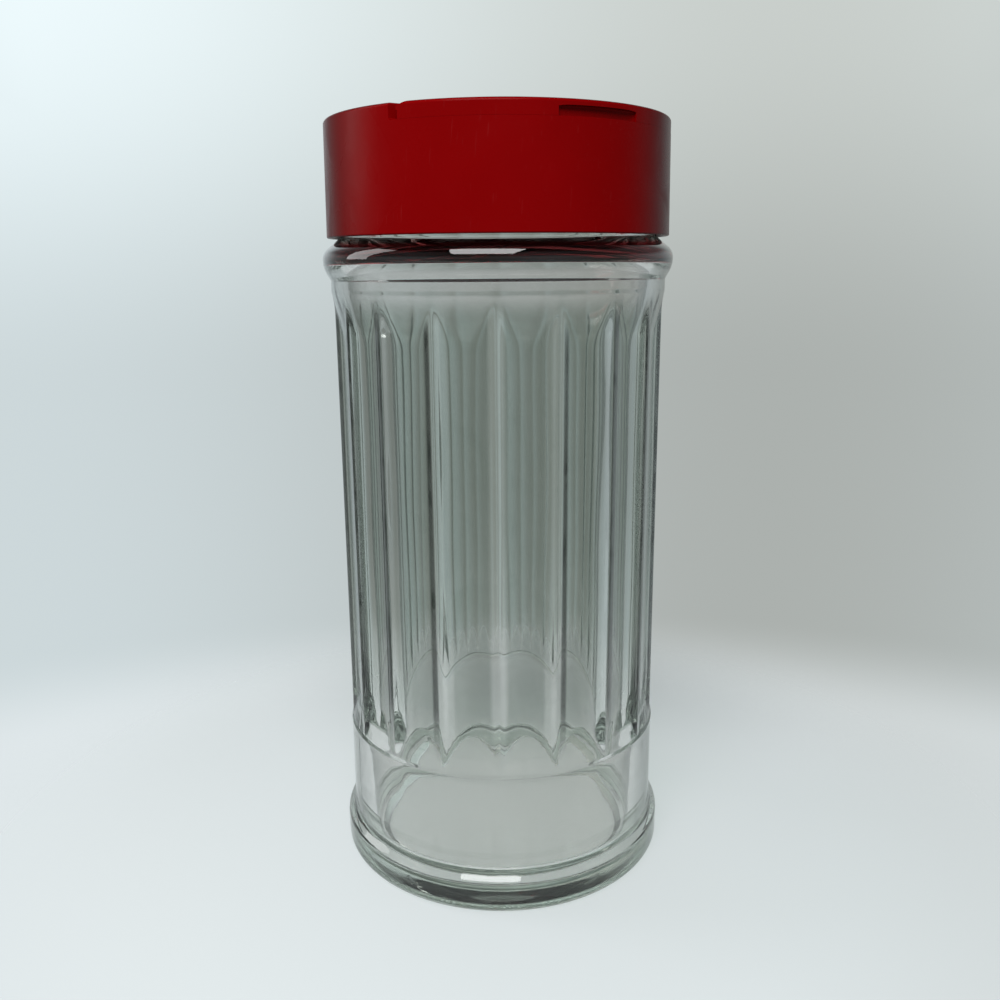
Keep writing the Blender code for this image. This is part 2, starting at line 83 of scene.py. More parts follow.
# Glass jar: radii and walls
PANEL_RADIUS = 32.5 * MM
RIDGE_RADIUS = 32.25 * MM
BAND_RADIUS = 32.8 * MM
NECK_RADIUS = 30.0 * MM
FLUTE_DEPTH = 1.4 * MM
FLUTE_RADIUS = RIDGE_RADIUS - FLUTE_DEPTH
INSIDE_RADIUS = FLUTE_RADIUS - 2.7 * MM
BORE_RADIUS = NECK_RADIUS - 2.8 * MM

# Glass jar: the inside of the shoulder, which bulges out behind the bead under a nearly flat ceiling
THROAT_RADIUS = BORE_RADIUS - 0.6 * MM
BULGE_RADIUS = BEAD_RADIUS - 3.0 * MM
SHOULDER_CEILING = 123.4 * MM
THROAT_RISE = 2.0 * MM
GROOVE_RISE = 1.1 * MM
CEILING_FILLET = 0.2 * MM
WALL_TAPER = 7 * MM  # height under the flutes' top over which the inside widens
TAPER_FILLET = 3 * MM

# Glass jar: flutes
FLUTE_COUNT = 18
FLUTE_PITCH = math.tau / FLUTE_COUNT
RIDGE_WIDTH = 1.8 * MM
RIDGE_PHASE = math.radians(7.5)  # where the first ridge stands, from -Y towards +X
RUN_OUT = 8.4 * MM  # height of the slope that ends a flute under the bead
COLUMNS_PER_FLUTE = 16
SILL = 0.06 * MM  # how far the slope under the flutes stands out from the ridges
SILL_SOFTNESS = 0.08 * MM
ARCH_SOFTNESS = 0.04 * MM
POINT_SOFTNESS = 0.3 * MM  # where a flute runs out under the bead

# Glass jar: the mould's marks
PARTING_LINE = 0.10 * MM  # how far the ring over the panel stands out, where two parts of the mould meet
PARTING_WIDTH = 0.5 * MM
SEAM_HEIGHT = 0.05 * MM
SEAM_WIDTH = 0.16 * MM
SEAMS = (3, 12)  # the ridges that the mould's two upright seams run along

# Glass jar: the blown inside, whose waves rise over the floor and die away under the shoulder
INSIDE_WAVES = (
    (0.090, 2, 90.0, 0.3),
    (0.055, 5, -70.0, 2.0),
    (0.030, 11, 46.0, 4.1),
    (0.008, 19, -37.0, 0.9),
)  # each: depth in millimetres, number round the jar, wavelength along it in millimetres, phase
INSIDE_ECHO = 0.06 * MM  # how far the inside follows the flutes

# Glass jar: base
PUSH_UP = 1.8 * MM
STANDING_RING = 3.6 * MM
HEEL_SLOPE = 1.8 * MM  # height of the slope from the heel's upright face in to the panel
HEEL_FILLET = 2.2 * MM  # at the foot
HEEL_SHOULDER_FILLET = 1.6 * MM
PANEL_ROOT_FILLET = 3.0 * MM
BEAD_LOW_SLOPE = 2.4 * MM
BEAD_HIGH_SLOPE = 1.5 * MM
BEAD_LOW_FILLET = 5.0 * MM
BEAD_HIGH_FILLET = 3.0 * MM
NECK_FLARE = 1.2 * MM
LIP_FILLET = 0.9 * MM
FLOOR = PUSH_UP + 4.6 * MM
FLOOR_DOME = 0.8 * MM
FLOOR_FILLET = 2.5 * MM
WAVES_BEGIN = (FLOOR + 4 * MM, FLOOR + 24 * MM)
WAVES_END = (108 * MM, 118 * MM)

# Screw thread
THREAD_PITCH = 4.233 * MM
THREAD_TURNS = 1.25
THREAD_HEIGHT = 1.25 * MM
THREAD_HALF_WIDTH = 1.1 * MM
THREAD_TOP = LIP - 3.1 * MM
THREAD_RUN_OUT = 0.11  # of a turn
THREAD_SHARPNESS = 1.3

# Cap
CAP_COLUMNS = 192
PIN_COLUMNS = 48
POCKET_DEPTH = 2.8 * MM
DECK = CAP_TOP - POCKET_DEPTH
DECK_UNDERSIDE = LINER_HIGH.z + 0.3 * MM
SKIRT_INSIDE = LINER_HIGH.x + 0.4 * MM
CAP_RADIUS = SKIRT_INSIDE + 1.4 * MM
LEAD_IN = 0.7 * MM
CAP_FILLET = 0.6 * MM
BRIDGE = 14.1 * MM  # half its width
BRIDGE_WALL = 1.4 * MM
BRIDGE_EDGE = 0.35 * MM  # rounding of its long edges
BRIDGE_HALF_RIB = 0.6 * MM
HOLLOW_FILLET = 0.8 * MM
POCKET_FILLET = 0.4 * MM
DIMPLE_RADIUS = 1.2 * MM
DIMPLE_DEPTH = 0.22 * MM
LINER_RIB = 0.7 * MM
RIB_FOOT = DECK_UNDERSIDE - 1.0 * MM
RIB_ROOT_FILLET = 0.2 * MM
RIB_EDGE_FILLET = 0.15 * MM
SEAM = 0.015 * MM  # between a closed flap's lip and the deck
OPENING_RADIUS = BORE_RADIUS - 1.0 * MM
OPENING_EDGE = BRIDGE + 2.9 * MM
OPENING_FILLET = 2.0 * MM
OPENING_FLARE = 0.25 * MM
HOLE_RADIUS = 1.5 * MM
HOLE_FLARE = 0.2 * MM
HOLE_SPACING = 5.0 * MM
HOLE_ROWS = ((7, 1.8 * MM), (4, 6.0 * MM))  # how many holes, and how far out from the pouring opening's edge
CAP_THREAD_TOP = THREAD_TOP - 1.63 * MM
CAP_THREAD_HALF_WIDTH = 0.8 * MM

# Flaps and their webs
FLAP_PLATE = 1.4 * MM
FLAP_LIP_WIDTH = 1.4 * MM
HINGE_Y = BRIDGE + 0.95 * MM
FLAP_EDGE = HINGE_Y + 0.45 * MM
GROOVE_EDGE = BRIDGE + 2.9 * MM
GROOVE_FILLET = 1.2 * MM
LIP_SETBACK = 0.2 * MM  # from a flap's straight edge to the end of its lip
WEB_THICKNESS = 0.3 * MM
WEB_TOP = CAP_TOP - 0.75 * MM
WEB_OVERLAP = 0.25 * MM  # how far it reaches into the bridge and the flap
WEB_ROOT_DEPTH = 0.18 * MM
WEB_ROOT_REACH = 0.35 * MM
WEB_END = 0.15 * MM  # length of its thinner ends
FINGER_SLOT = 8.37 * MM  # half its width
FINGER_SLOT_DEPTH = 0.9 * MM
SLOT_RISE = 0.35 * MM  # from the plate's underside up to the slot's top
SLOT_END_DROP = 0.45 * MM
SLOT_FILLET = 0.4 * MM
RIM_WALL = 0.9 * MM
RIM_SOFTNESS = 0.25 * MM
PLUG_CLEARANCE = 0.45 * MM
PLUG_DEPTH = 0.45 * MM
SEAL_RIM_EDGE = HINGE_Y + 1.3 * MM
SEAL_RIM_RADIUS = BORE_RADIUS + 1.0 * MM
MARK_RADIUS = 1.25 * MM  # of the round marks that the mould's pins left under a flap
MARK_DEPTH = 0.06 * MM
MARK_SPACING = 12 * MM
MARK_OFFSET = 4.5 * MM  # out from the rim's straight edge
WIDE = 40 * MM  # how far a cutter reaches

# Liner
LINER_FILLET = 0.2 * MM
DENT_REACH = 0.9 * MM  # half the dent's width
DENT_DEPTH = 0.09 * MM

# Glass: heights between which the painted shade along the flutes sets in, dies away and deepens
FLUTE_SHADE_BEGINS = (28 * MM, 42 * MM)
FLUTE_SHADE_ENDS = (112 * MM, 119 * MM)
FLUTE_SHADE_DEEPENS = (45 * MM, 75 * MM)

# Glass: where the painted highlight on the crests and the painted shade on the ribs set in, from -1 in the
# middle of a flute to 1 on a ridge
CREST_WAVE = (0.62, 0.92)
RIB_WAVE = (0.25, 0.65)

# Glass: how much at a slant it is seen, from 0 straight on to 1 edge-on, where its painted shade sets in
GLASS_SLANT = (0.45, 0.88)
RIB_SLANT = (0.24, 0.36)

# Glass: colours. The clear tint is the glass's own; the rest paint light: shade along the flutes, a highlight
# on the near crests, shade in the heel's foot over its own deeper tint, shade at a slant and on the ribs, and
# the cap's red seen through the bead
CLEAR_TINT = (0.86, 0.85, 0.84, 1)
LOW_FLUTE_SHADE = (0.60, 0.635, 0.603, 1)
HIGH_FLUTE_SHADE = (0.565, 0.60, 0.568, 1)
CREST_HIGHLIGHT = (1.0, 1.0, 0.99, 1)
HEEL_TINT_AND_SHADE = (0.44, 0.50, 0.44, 1)
SLANT_SHADE = (0.10, 0.115, 0.105, 1)
RIB_SHADE = (0.005, 0.008, 0.006, 1)
BEAD_PAINTED_CAP_RED = (0.26, 0.008, 0.010, 1)

# Plastic and foam
DEEP_RED = (0.205, 0.0004, 0.0009, 1)
LIGHT_RED = (0.232, 0.0007, 0.0013, 1)
SCRATCHED_RED = (0.42, 0.06, 0.06, 1)
# Painted shade: the red darkens towards this where the plastic is seen at a slant
SLANT_SHADE_RED = (0.02, 0.0, 0.0, 1)
BENT_RED = (0.62, 0.22, 0.22, 1)
DUST = (0.60, 0.50, 0.46, 1)
# How much at a slant the plastic is seen, from 0 straight on to 1 edge-on, where its painted shade sets in
PLASTIC_SLANT = (0.30, 0.85)
FOAM_CELL = 0.32 * MM
FOAM_WHITE = (0.84, 0.83, 0.79, 1)
FOAM_PIT = (0.76, 0.75, 0.70, 1)
FOAM_STAIN = (0.72, 0.67, 0.56, 1)

# Wear
SCRATCH_TURNS = (0.3, 1.4, 2.5)  # how the three sets of scratches lie, in radians
SCRATCH_STRETCH = 26  # length of a scratch against its width
SCRATCHED = (0.71, 0.77)  # levels of noise between which each mark sets in
SMEARED = (0.46, 0.66)
DUSTED = (0.56, 0.70)
END_ON = (0.25, 0.55)  # a scratch that runs into the surface fades out here
DUST_LIES = (0.55, 0.95)  # how level the surface has to be

# Stage
FILL = 0.38  # share of the room's light that falls on dull surfaces, next to the lamps
FLOOR_FADE = (70 * MM, 135 * MM)  # the floor fades into the backdrop between these distances from the jar
LAMP_AIM = (0, 0, 0.07)
PAPER = (0.80, 0.86, 0.87, 1)
PALE_WALL = (0.61, 0.685, 0.705, 1)
DIM_WALL = (0.411, 0.438, 0.422, 1)
PALE_GROUND = (0.74, 0.80, 0.82, 1)
DIM_GROUND = (0.62, 0.66, 0.66, 1)
UNDERFOOT = (0.68, 0.735, 0.75, 1)
BAND_COUNT = 4.0  # slow darker bands round the room
BAND_AZIMUTH = math.radians(16)  # where one of them is darkest, from straight ahead

# Room: the upward part of a direction, from -1 straight down to 1 straight up, at which its light changes
FLOOR_BELOW = (-0.82, -0.60)
WALL_FOOT = (-0.42, -0.34)
WALL_BRIGHTENS = (-0.12, 0.24)
SIDES_DARKEN = (-0.42, -0.20)
OVERHEAD = (0.12, 0.4)
CEILING = (0.60, 0.72)

# Room: how nearly a direction points ahead, from 0 sideways to 1 straight ahead
SIDES = (0.60, 0.86)
CEILING_AHEAD = (0.75, 0.92)

# The photograph's camera
CAMERA_AZIMUTH = math.radians(-31.7)
CAMERA_DISTANCE = 200.1 * MM
CAMERA_HEIGHT = 123.15 * MM
CAMERA_PITCH = math.radians(13.603)
CAMERA_ROLL = math.radians(-0.4555)
CAMERA_LENS = 35.31  # millimetres
CAMERA_SENSOR = 36.0  # millimetres


def along(first, last, steps):
    """Evenly spaced values from first to last, both included."""
    return [first + (last - first) * step / steps for step in range(steps + 1)]


def rounded(corners, step_angle=8.0):
    """The outline through corners (across, up, fillet radius), with an arc in place of each filleted one."""
    points = [Vector(corner[:2]) for corner in corners]
    outline = []
    for index, (_, _, fillet) in enumerate(corners):
        here = points[index]
        if not fillet:
            outline.append(here)
            continue
        back = points[index - 1] - here
        ahead = points[(index + 1) % len(points)] - here
        half_corner = back.angle(ahead) / 2
        reach = min(fillet / math.tan(half_corner), 0.48 * back.length, 0.48 * ahead.length)
        radius = reach * math.tan(half_corner)
        middle = here + (back.normalized() + ahead.normalized()).normalized() * radius / math.sin(half_corner)
        spoke = here + back.normalized() * reach - middle
        sweep = -spoke.angle_signed(here + ahead.normalized() * reach - middle)
        steps = max(2, math.ceil(abs(sweep) / math.radians(step_angle)))
        outline += [middle + Matrix.Rotation(a, 2) @ spoke for a in along(0, sweep, steps)]
    return outline


def dense(outline, longest):
    """The outline with points added, so that no two are further apart than longest."""
    points = [outline[0]]
    for here, ahead in zip(outline, outline[1:]):
        steps = max(1, math.ceil((ahead - here).length / longest))
        points += [here.lerp(ahead, step / steps) for step in range(1, steps + 1)]
    return points


def smooth_step(low, high, values):
    """0 below low, 1 above high, and a smooth rise between."""
    share = np.clip((values - low) / (high - low), 0.0, 1.0)
    return share * share * (3 - 2 * share)


def smooth_max(a, b, softness):
    """The larger of two heights, with their meeting rounded."""
    return (a + b + np.sqrt((a - b) ** 2 + softness**2)) / 2


def mesh_object(name, vertices, faces):
    """A smooth-shaded object in the scene."""
    mesh = bpy.data.meshes.new(name)
    mesh.from_pydata(vertices, [], faces)
    mesh.validate()
    mesh.shade_smooth()
    obj = bpy.data.objects.new(name, mesh)
    bpy.context.scene.collection.objects.link(obj)
    return obj


def ring_faces(rings):
    """Vertices and faces through rings of points. A ring is a list of points, or one point on the axis."""
    vertices, faces, starts = [], [], []
    for points in rings:
        starts.append(len(vertices))
        vertices += [tuple(point) for point in points]
    for low, high, here, ahead in zip(rings, rings[1:], starts, starts[1:]):
        count = max(len(low), len(high))
        for i in range(count):
            j = (i + 1) % count
            if len(low) == 1:
                faces.append((here, ahead + j, ahead + i))
            elif len(high) == 1:
                faces.append((here + i, here + j, ahead))
            else:
                faces.append((here + i, here + j, ahead + j, ahead + i))
    return vertices, faces


def flute_angles():
    """The jar's columns, closer together at the ridges."""
    angles = []
    for flute in range(FLUTE_COUNT):
        for step in range(COLUMNS_PER_FLUTE):
            across = -math.cos(math.pi * step / COLUMNS_PER_FLUTE)
            angles.append(RIDGE_PHASE + FLUTE_PITCH * (flute + (1 + across) / 2))
    return np.array(angles)


def flute_risen(angles):
    """How far the wall has risen from the bottom of a flute, 0, to a ridge, 1."""
    place = (angles - RIDGE_PHASE) / FLUTE_PITCH
    across = np.abs(2 * (place - np.floor(place)) - 1)
    ridge = RIDGE_WIDTH / (math.tau * RIDGE_RADIUS / FLUTE_COUNT)
    return np.where(1 - across < ridge, 1 - (1 - across) ** 2 / ridge, across**2 / (1 - ridge))


def fluted_radius(angles, height):
    """The jar's outside between the panel and the band: flutes that run out into a slope at each end."""
    wall = FLUTE_RADIUS + FLUTE_DEPTH * flute_risen(angles)
    foot = RIDGE_RADIUS + SILL
    sunk = FLUTE_DEPTH / (ARCH_TOP - ARCH_FOOT) * (height - ARCH_FOOT)
    low = foot + RIDGE_RADIUS - sunk - smooth_max(RIDGE_RADIUS - sunk, foot, SILL_SOFTNESS)
    high = BAND_RADIUS - (BAND_RADIUS - FLUTE_RADIUS) / RUN_OUT * (FLUTES_TOP - height)
    return smooth_max(smooth_max(wall, low, ARCH_SOFTNESS), high, POINT_SOFTNESS)


def mould_seams(angles):
    """How far the mould's upright seams stand out."""
    stands = np.zeros_like(angles)
    for ridge in SEAMS:
        turned_by = angles - RIDGE_PHASE - ridge * FLUTE_PITCH
        profile = SEAM_HEIGHT * np.exp(-((RIDGE_RADIUS * np.sin(turned_by) / SEAM_WIDTH) ** 2))
        stands += np.where(np.cos(turned_by) > 0, profile, 0.0)
    return stands


def thread_height(angles, height, top, half_width):
    """How far a screw thread stands out of its wall at a height."""
    stands = np.zeros_like(angles)
    for turn in range(-2, 1):
        turns = angles / math.tau + turn
        inside = (turns >= -THREAD_TURNS) & (turns <= 0)
        ends = np.minimum(turns + THREAD_TURNS, -turns) / THREAD_RUN_OUT
        off = (height - (top + THREAD_PITCH * turns)) / half_width
        rounding = np.cos(np.clip(off, -1, 1) * math.pi / 2) ** THREAD_SHARPNESS
        profile = np.where(np.abs(off) < 1, rounding, 0.0)
        stands = np.where(inside, np.maximum(stands, profile * smooth_step(0.0, 1.0, ends)), stands)
    return THREAD_HEIGHT * stands


def unevenness(angles, height):
    """The blown inside's slow waves."""
    total = np.zeros_like(angles)
    for depth, around, wavelength, phase in INSIDE_WAVES:
        total += depth * MM * np.sin(around * angles + math.tau * height / (wavelength * MM) + phase)
    return total


def jar_outside():
    """Points (radius, height) in three runs: from the base's middle up to the flutes, the neck, the lip."""
    standing_radius = HEEL_RADIUS - HEEL_FILLET - STANDING_RING
    half = PARTING_WIDTH / 2
    base = rounded([
        (0, PUSH_UP, 0),
        (standing_radius - 2 * PUSH_UP, PUSH_UP, 2 * PUSH_UP),
        (standing_radius, 0, 0.5 * PUSH_UP),
        (HEEL_RADIUS, 0, HEEL_FILLET),
        (HEEL_RADIUS, HEEL_TOP - HEEL_SLOPE, HEEL_SHOULDER_FILLET),
        (PANEL_RADIUS, HEEL_TOP, PANEL_ROOT_FILLET),
        (PANEL_RADIUS, PANEL_TOP - 3 * half, 0),
    ], step_angle=5.0)
    base = dense(base, longest=1.8 * MM)
    for share in along(0, 1, 8)[1:]:
        stands = PARTING_LINE * math.sin(math.pi * share) ** 2
        base.append(Vector((PANEL_RADIUS + stands, PANEL_TOP - half * (3 - 2 * share))))
    shoulder = rounded([
        (BAND_RADIUS, FLUTES_TOP, 0),
        (BAND_RADIUS, BEAD_BOTTOM, 0.5 * MM),
        (BEAD_RADIUS, BEAD_BOTTOM + BEAD_LOW_SLOPE, BEAD_LOW_FILLET),
        (BEAD_RADIUS, BEAD_TOP - BEAD_HIGH_SLOPE, BEAD_HIGH_FILLET),
        (NECK_RADIUS + NECK_FLARE, BEAD_TOP + (NECK_BOTTOM - BEAD_TOP) / 3, NECK_FLARE),
        (NECK_RADIUS, NECK_BOTTOM, NECK_FLARE),
        (NECK_RADIUS, NECK_BOTTOM + NECK_FLARE, 0),
    ], step_angle=10.0)
    neck_foot = Vector((NECK_RADIUS, NECK_BOTTOM + 1.1 * NECK_FLARE))
    neck_head = Vector((NECK_RADIUS, LIP - 2 * LIP_FILLET))
    neck = dense([neck_foot, neck_head], longest=0.4 * MM)
    lip = rounded([
        (NECK_RADIUS, LIP - 1.9 * LIP_FILLET, 0),
        (NECK_RADIUS, LIP, LIP_FILLET),
        (BORE_RADIUS, LIP, LIP_FILLET),
        (BORE_RADIUS, LIP - 2 * LIP_FILLET, 0),
    ], step_angle=12.0)
    return base, shoulder + neck, lip


def jar_inside():
    """Points (radius, height) from the bore down to the middle of the floor, which is slightly domed."""
    waist = BULGE_RADIUS - BEAD_RADIUS + BAND_RADIUS
    wall = rounded([
        (BORE_RADIUS, LIP - 2.2 * LIP_FILLET, 0),
        (THROAT_RADIUS, SHOULDER_CEILING + THROAT_RISE, 0.5 * MM),
        (BULGE_RADIUS, SHOULDER_CEILING, CEILING_FILLET),
        (waist, BEAD_BOTTOM + GROOVE_RISE, CEILING_FILLET),
        (waist - 0.2 * MM, FLUTES_TOP + 0.5 * MM, TAPER_FILLET),
        (INSIDE_RADIUS, FLUTES_TOP - WALL_TAPER, TAPER_FILLET),
        (INSIDE_RADIUS, FLOOR - FLOOR_DOME, FLOOR_FILLET),
        (0, FLOOR - FLOOR_DOME, 0),
    ], step_angle=9.0)
    edge = wall[-2].x
    dome = [Vector((edge * (1 - share), FLOOR - FLOOR_DOME * (1 - share) ** 2)) for share in along(0, 1, 10)]
    return dense(wall[:-2], longest=3.0 * MM) + dome


def ring(angles, radius, height):
    """Points round the axis, or one point on it. Angles run from -Y towards +X."""
    if np.max(radius) < ON_AXIS:
        return np.array([[0.0, 0.0, height]])
    even = np.ones_like(angles)
    return np.stack([radius * np.sin(angles), -radius * np.cos(angles), height * even], axis=1)


def glass_jar():
    """The jar as one closed body: outside, lip and blown inside."""
    angles = flute_angles()
    base, shoulder, lip = jar_outside()
    seam = mould_seams(angles)
    rings = []
    for radius, height in base:
        rings.append(ring(angles, radius + (seam if radius > PANEL_RADIUS - 1 * MM else 0.0), height))
    arches_end = ARCH_TOP + 0.6 * MM
    points_start = FLUTES_TOP - RUN_OUT - 1.5 * MM
    heights = along(PANEL_TOP, arches_end, 44)
    heights += along(arches_end, points_start, 18)[1:]
    heights += along(points_start, FLUTES_TOP, 26)[1:-1]
    for height in heights:
        rings.append(ring(angles, fluted_radius(angles, height) + seam, height))
    for radius, height in shoulder:
        stands = seam + thread_height(angles, height, THREAD_TOP, THREAD_HALF_WIDTH)
        rings.append(ring(angles, radius + stands, height))
    rings += [ring(angles, radius, height) for radius, height in lip]
    echo = INSIDE_ECHO * (flute_risen(angles) - 0.4)
    for radius, height in jar_inside():
        share = smooth_step(*WAVES_BEGIN, height) * (1 - smooth_step(*WAVES_END, height))
        waves = share * (echo + unevenness(angles, height)) if radius > ON_AXIS else 0.0
        rings.append(ring(angles, radius + waves, height))
    return mesh_object("glass_body", *ring_faces(rings))


def turned(name, outline, closed=False, shift=None):
    """A body turned about the axis. shift(angles, height, radius) moves a point of the outline in or out."""
    angles = np.arange(CAP_COLUMNS) * math.tau / CAP_COLUMNS
    rings = []
    for radius, height in outline + outline[:1] if closed else outline:
        moved = shift(angles, height, radius) if shift else 0.0
        rings.append(ring(angles, radius + moved, height))
    return solid(name, *ring_faces(rings))


def tidy(body):
    """Merges doubled points and turns all faces outward."""
    bm = bmesh.new()
    bm.from_mesh(body.data)
    bmesh.ops.remove_doubles(bm, verts=bm.verts, dist=0.1e-6)
    bmesh.ops.recalc_face_normals(bm, faces=bm.faces)
    bm.to_mesh(body.data)
    bm.free()


def solid(name, vertices, faces):
    """A closed body, tidied."""
    body = mesh_object(name, vertices, faces)
    tidy(body)
    return body


def lofted(name, rings):
    """A body through rings of points, with a flat face over each end."""
    vertices, faces = ring_faces(rings)
    count = len(rings[0])
    faces += [tuple(range(count)), tuple(range(len(vertices) - count, len(vertices)))]
    return solid(name, vertices, faces)


def prism(name, outline, first, last, axis="Z"):
    """A flat outline drawn along an axis. It is (x, y) for Z and (y, z) for X."""
    order = {"Z": (0, 1, 2), "X": (2, 0, 1)}[axis]
    count = len(outline)
    vertices = [tuple((a, b, c)[i] for i in order) for c in (first, last) for a, b in outline]
    faces = [tuple(range(count)), tuple(range(count, 2 * count))]
    faces += [(i, (i + 1) % count, count + (i + 1) % count, count + i) for i in range(count)]
    return solid(name, vertices, faces)


def block(low, high):
    """A cutter between two corners."""
    corners = [(low[0], low[1]), (high[0], low[1]), (high[0], high[1]), (low[0], high[1])]
    return prism("block", corners, low[2], high[2])


def pin(x, y, profile):
    """A turned cutter of (radius, height) points, standing at a place."""
    angles = np.arange(PIN_COLUMNS) * math.tau / PIN_COLUMNS
    points = [(0, profile[0][1]), *profile, (0, profile[-1][1])]
    body = mesh_object("pin", *ring_faces([ring(angles, radius, height) for radius, height in points]))
    body.data.transform(Matrix.Translation((x, y, 0)))
    tidy(body)
    return body


def carve(body, tool, operation="DIFFERENCE"):
    """Cuts a tool from a body, or joins it on, and removes the tool."""
    boolean = body.modifiers.new("carve", "BOOLEAN")
    boolean.operation = operation
    boolean.object = tool
    carved = bpy.data.meshes.new_from_object(body.evaluated_get(bpy.context.evaluated_depsgraph_get()))
    body.modifiers.clear()
    body.data = carved
    bpy.data.objects.remove(tool)


def crisp(body):
    """Smooth shading that the large faces set, broken at the sharp edges."""
    body.data.shade_smooth()
    body.data.set_sharp_from_angle(angle=math.radians(34))
    shading = body.modifiers.new("shading", "WEIGHTED_NORMAL")
    shading.weight = 100
    shading.keep_sharp = True
    return body


def arc(radius, first, last, steps, middle=(0, 0)):
    """Points on an arc. Angles run from -Y towards +X."""
    x, y = middle
    return [(x + radius * math.sin(a), y - radius * math.cos(a)) for a in along(first, last, steps)]


def quarter(size, steps):
    """A quarter of a circle from (0, size) to (size, 0), which bulges towards (0, 0)."""
    return [(size * (1 - math.cos(a)), size * (1 - math.sin(a))) for a in along(0, math.pi / 2, steps)]


def segment(edge, radius, fillet):
    """The part of a disc beyond a straight edge at y = -edge, with its two corners rounded."""
    middle = (math.sqrt((radius - fillet) ** 2 - (edge + fillet) ** 2), -edge - fillet)
    reach = math.atan2(middle[0], edge + fillet)
    corner = arc(fillet, math.pi, reach, 12, middle)
    return corner + arc(radius, reach, -reach, 48)[1:-1] + [(-x, y) for x, y in reversed(corner)]


def strip(half_width, radius, left, right):
    """A rounded patch of a disc from left to right, between straight edges half_width off to both sides."""
    def reach(x, y):
        return min(abs(x), math.sqrt(radius**2 - y**2)) * (1 if x > 0 else -1)
    steps = 16
    corners = [(reach(right, y), y) for y in along(-half_width, half_width, steps)]
    corners += [(reach(left, y), y) for y in along(half_width, -half_width, steps)]
    rounds = [HOLLOW_FILLET if i % (steps + 1) in (0, steps) else 0 for i in range(len(corners))]
    return rounded([(x, y, fillet) for (x, y), fillet in zip(corners, rounds)], step_angle=15.0)


def funnel(outline_at, low, high, flare):
    """A cutter with the outline that outline_at(growth) gives, which widens by flare at its top."""
    levels = [(0.0, low)] + [(growth, high - down) for growth, down in quarter(flare, 4)]
    levels.append((flare, high + 3 * flare))
    return lofted("funnel", [[(x, y, height) for x, y in outline_at(growth)] for growth, height in levels])


def cap_shell():
    """The cap's body: skirt with its inner thread, deck with its openings, and the raised bridge."""
    rib_outside = BORE_RADIUS - 0.1 * MM
    rib_inside = rib_outside - LINER_RIB
    outline = rounded([
        (0, CAP_TOP, 0),
        (CAP_RADIUS, CAP_TOP, CAP_FILLET),
        (SKIRT_RADIUS, SKIRT_FOOT, 0.3 * MM),
        (SKIRT_INSIDE + LEAD_IN, SKIRT_FOOT, 0.25 * MM),
        (SKIRT_INSIDE, SKIRT_FOOT + LEAD_IN, 0.3 * MM),
        (SKIRT_INSIDE, DECK_UNDERSIDE, LEAD_IN),
        (rib_outside, DECK_UNDERSIDE, RIB_ROOT_FILLET),
        (rib_outside, RIB_FOOT, RIB_EDGE_FILLET),
        (rib_inside, RIB_FOOT, RIB_EDGE_FILLET),
        (rib_inside, DECK_UNDERSIDE, RIB_ROOT_FILLET),
        (0, DECK_UNDERSIDE, 0),
    ], step_angle=12.0)
    wall = [i for i, point in enumerate(outline) if abs(point.x - SKIRT_INSIDE) < ON_WALL]
    inner = dense(outline[wall[0]:wall[-1] + 1], longest=0.3 * MM)
    outline = outline[:wall[0]] + inner + outline[wall[-1] + 1:]

    def thread(angles, height, radius):
        if abs(radius - SKIRT_INSIDE) > ON_WALL:
            return 0.0
        return -thread_height(angles, height, CAP_THREAD_TOP, CAP_THREAD_HALF_WIDTH)

    shell = turned("cap_body", outline, shift=thread)
    edge = [(across - BRIDGE, CAP_TOP - down) for across, down in quarter(BRIDGE_EDGE, 5)]
    pocket = rounded([(-WIDE, DECK, 0), (-BRIDGE, DECK, POCKET_FILLET), (*edge[0], 0)], step_angle=15.0)
    pocket += edge[1:] + [(edge[-1][0], CAP_TOP + WIDE), (-WIDE, CAP_TOP + WIDE)]
    for side in (1, -1):
        carve(shell, prism("pocket", [(side * y, z) for y, z in pocket], -WIDE, WIDE, "X"))
    carve_inside(shell)
    dimple = rounded([
        (DIMPLE_RADIUS + 0.1 * MM, CAP_TOP + 1 * MM, 0),
        (DIMPLE_RADIUS, CAP_TOP - DIMPLE_DEPTH, 0.12 * MM),
        (0.01 * MM, CAP_TOP - DIMPLE_DEPTH, 0),
    ], step_angle=20.0)
    carve(shell, pin(0, 0, dimple[::-1]))
    return crisp(shell)


def carve_inside(shell):
    """Hollows the bridge between two ribs, and cuts the pouring opening and the sprinkling holes."""
    rib = OPENING_RADIUS / 3
    for left, right in (
        (-WIDE, -rib - BRIDGE_HALF_RIB),
        (-rib + BRIDGE_HALF_RIB, rib - BRIDGE_HALF_RIB),
        (rib + BRIDGE_HALF_RIB, WIDE),
    ):
        hollow = strip(BRIDGE - BRIDGE_WALL, OPENING_RADIUS, left, right)
        carve(shell, prism("hollow", hollow, RIB_FOOT, CAP_TOP - BRIDGE_WALL))

    def opening(growth):
        return segment(OPENING_EDGE - growth, OPENING_RADIUS + growth, OPENING_FILLET + growth)

    carve(shell, funnel(opening, RIB_FOOT, DECK, OPENING_FLARE))
    flare = [(HOLE_RADIUS + across, DECK - down) for across, down in quarter(HOLE_FLARE, 4)]
    hole = [(HOLE_RADIUS, RIB_FOOT), *flare, (flare[-1][0], DECK + 0.5 * MM)]
    for count, out in HOLE_ROWS:
        for place in range(count):
            x = (place - (count - 1) / 2) * HOLE_SPACING
            carve(shell, pin(x, OPENING_EDGE + out, hole))


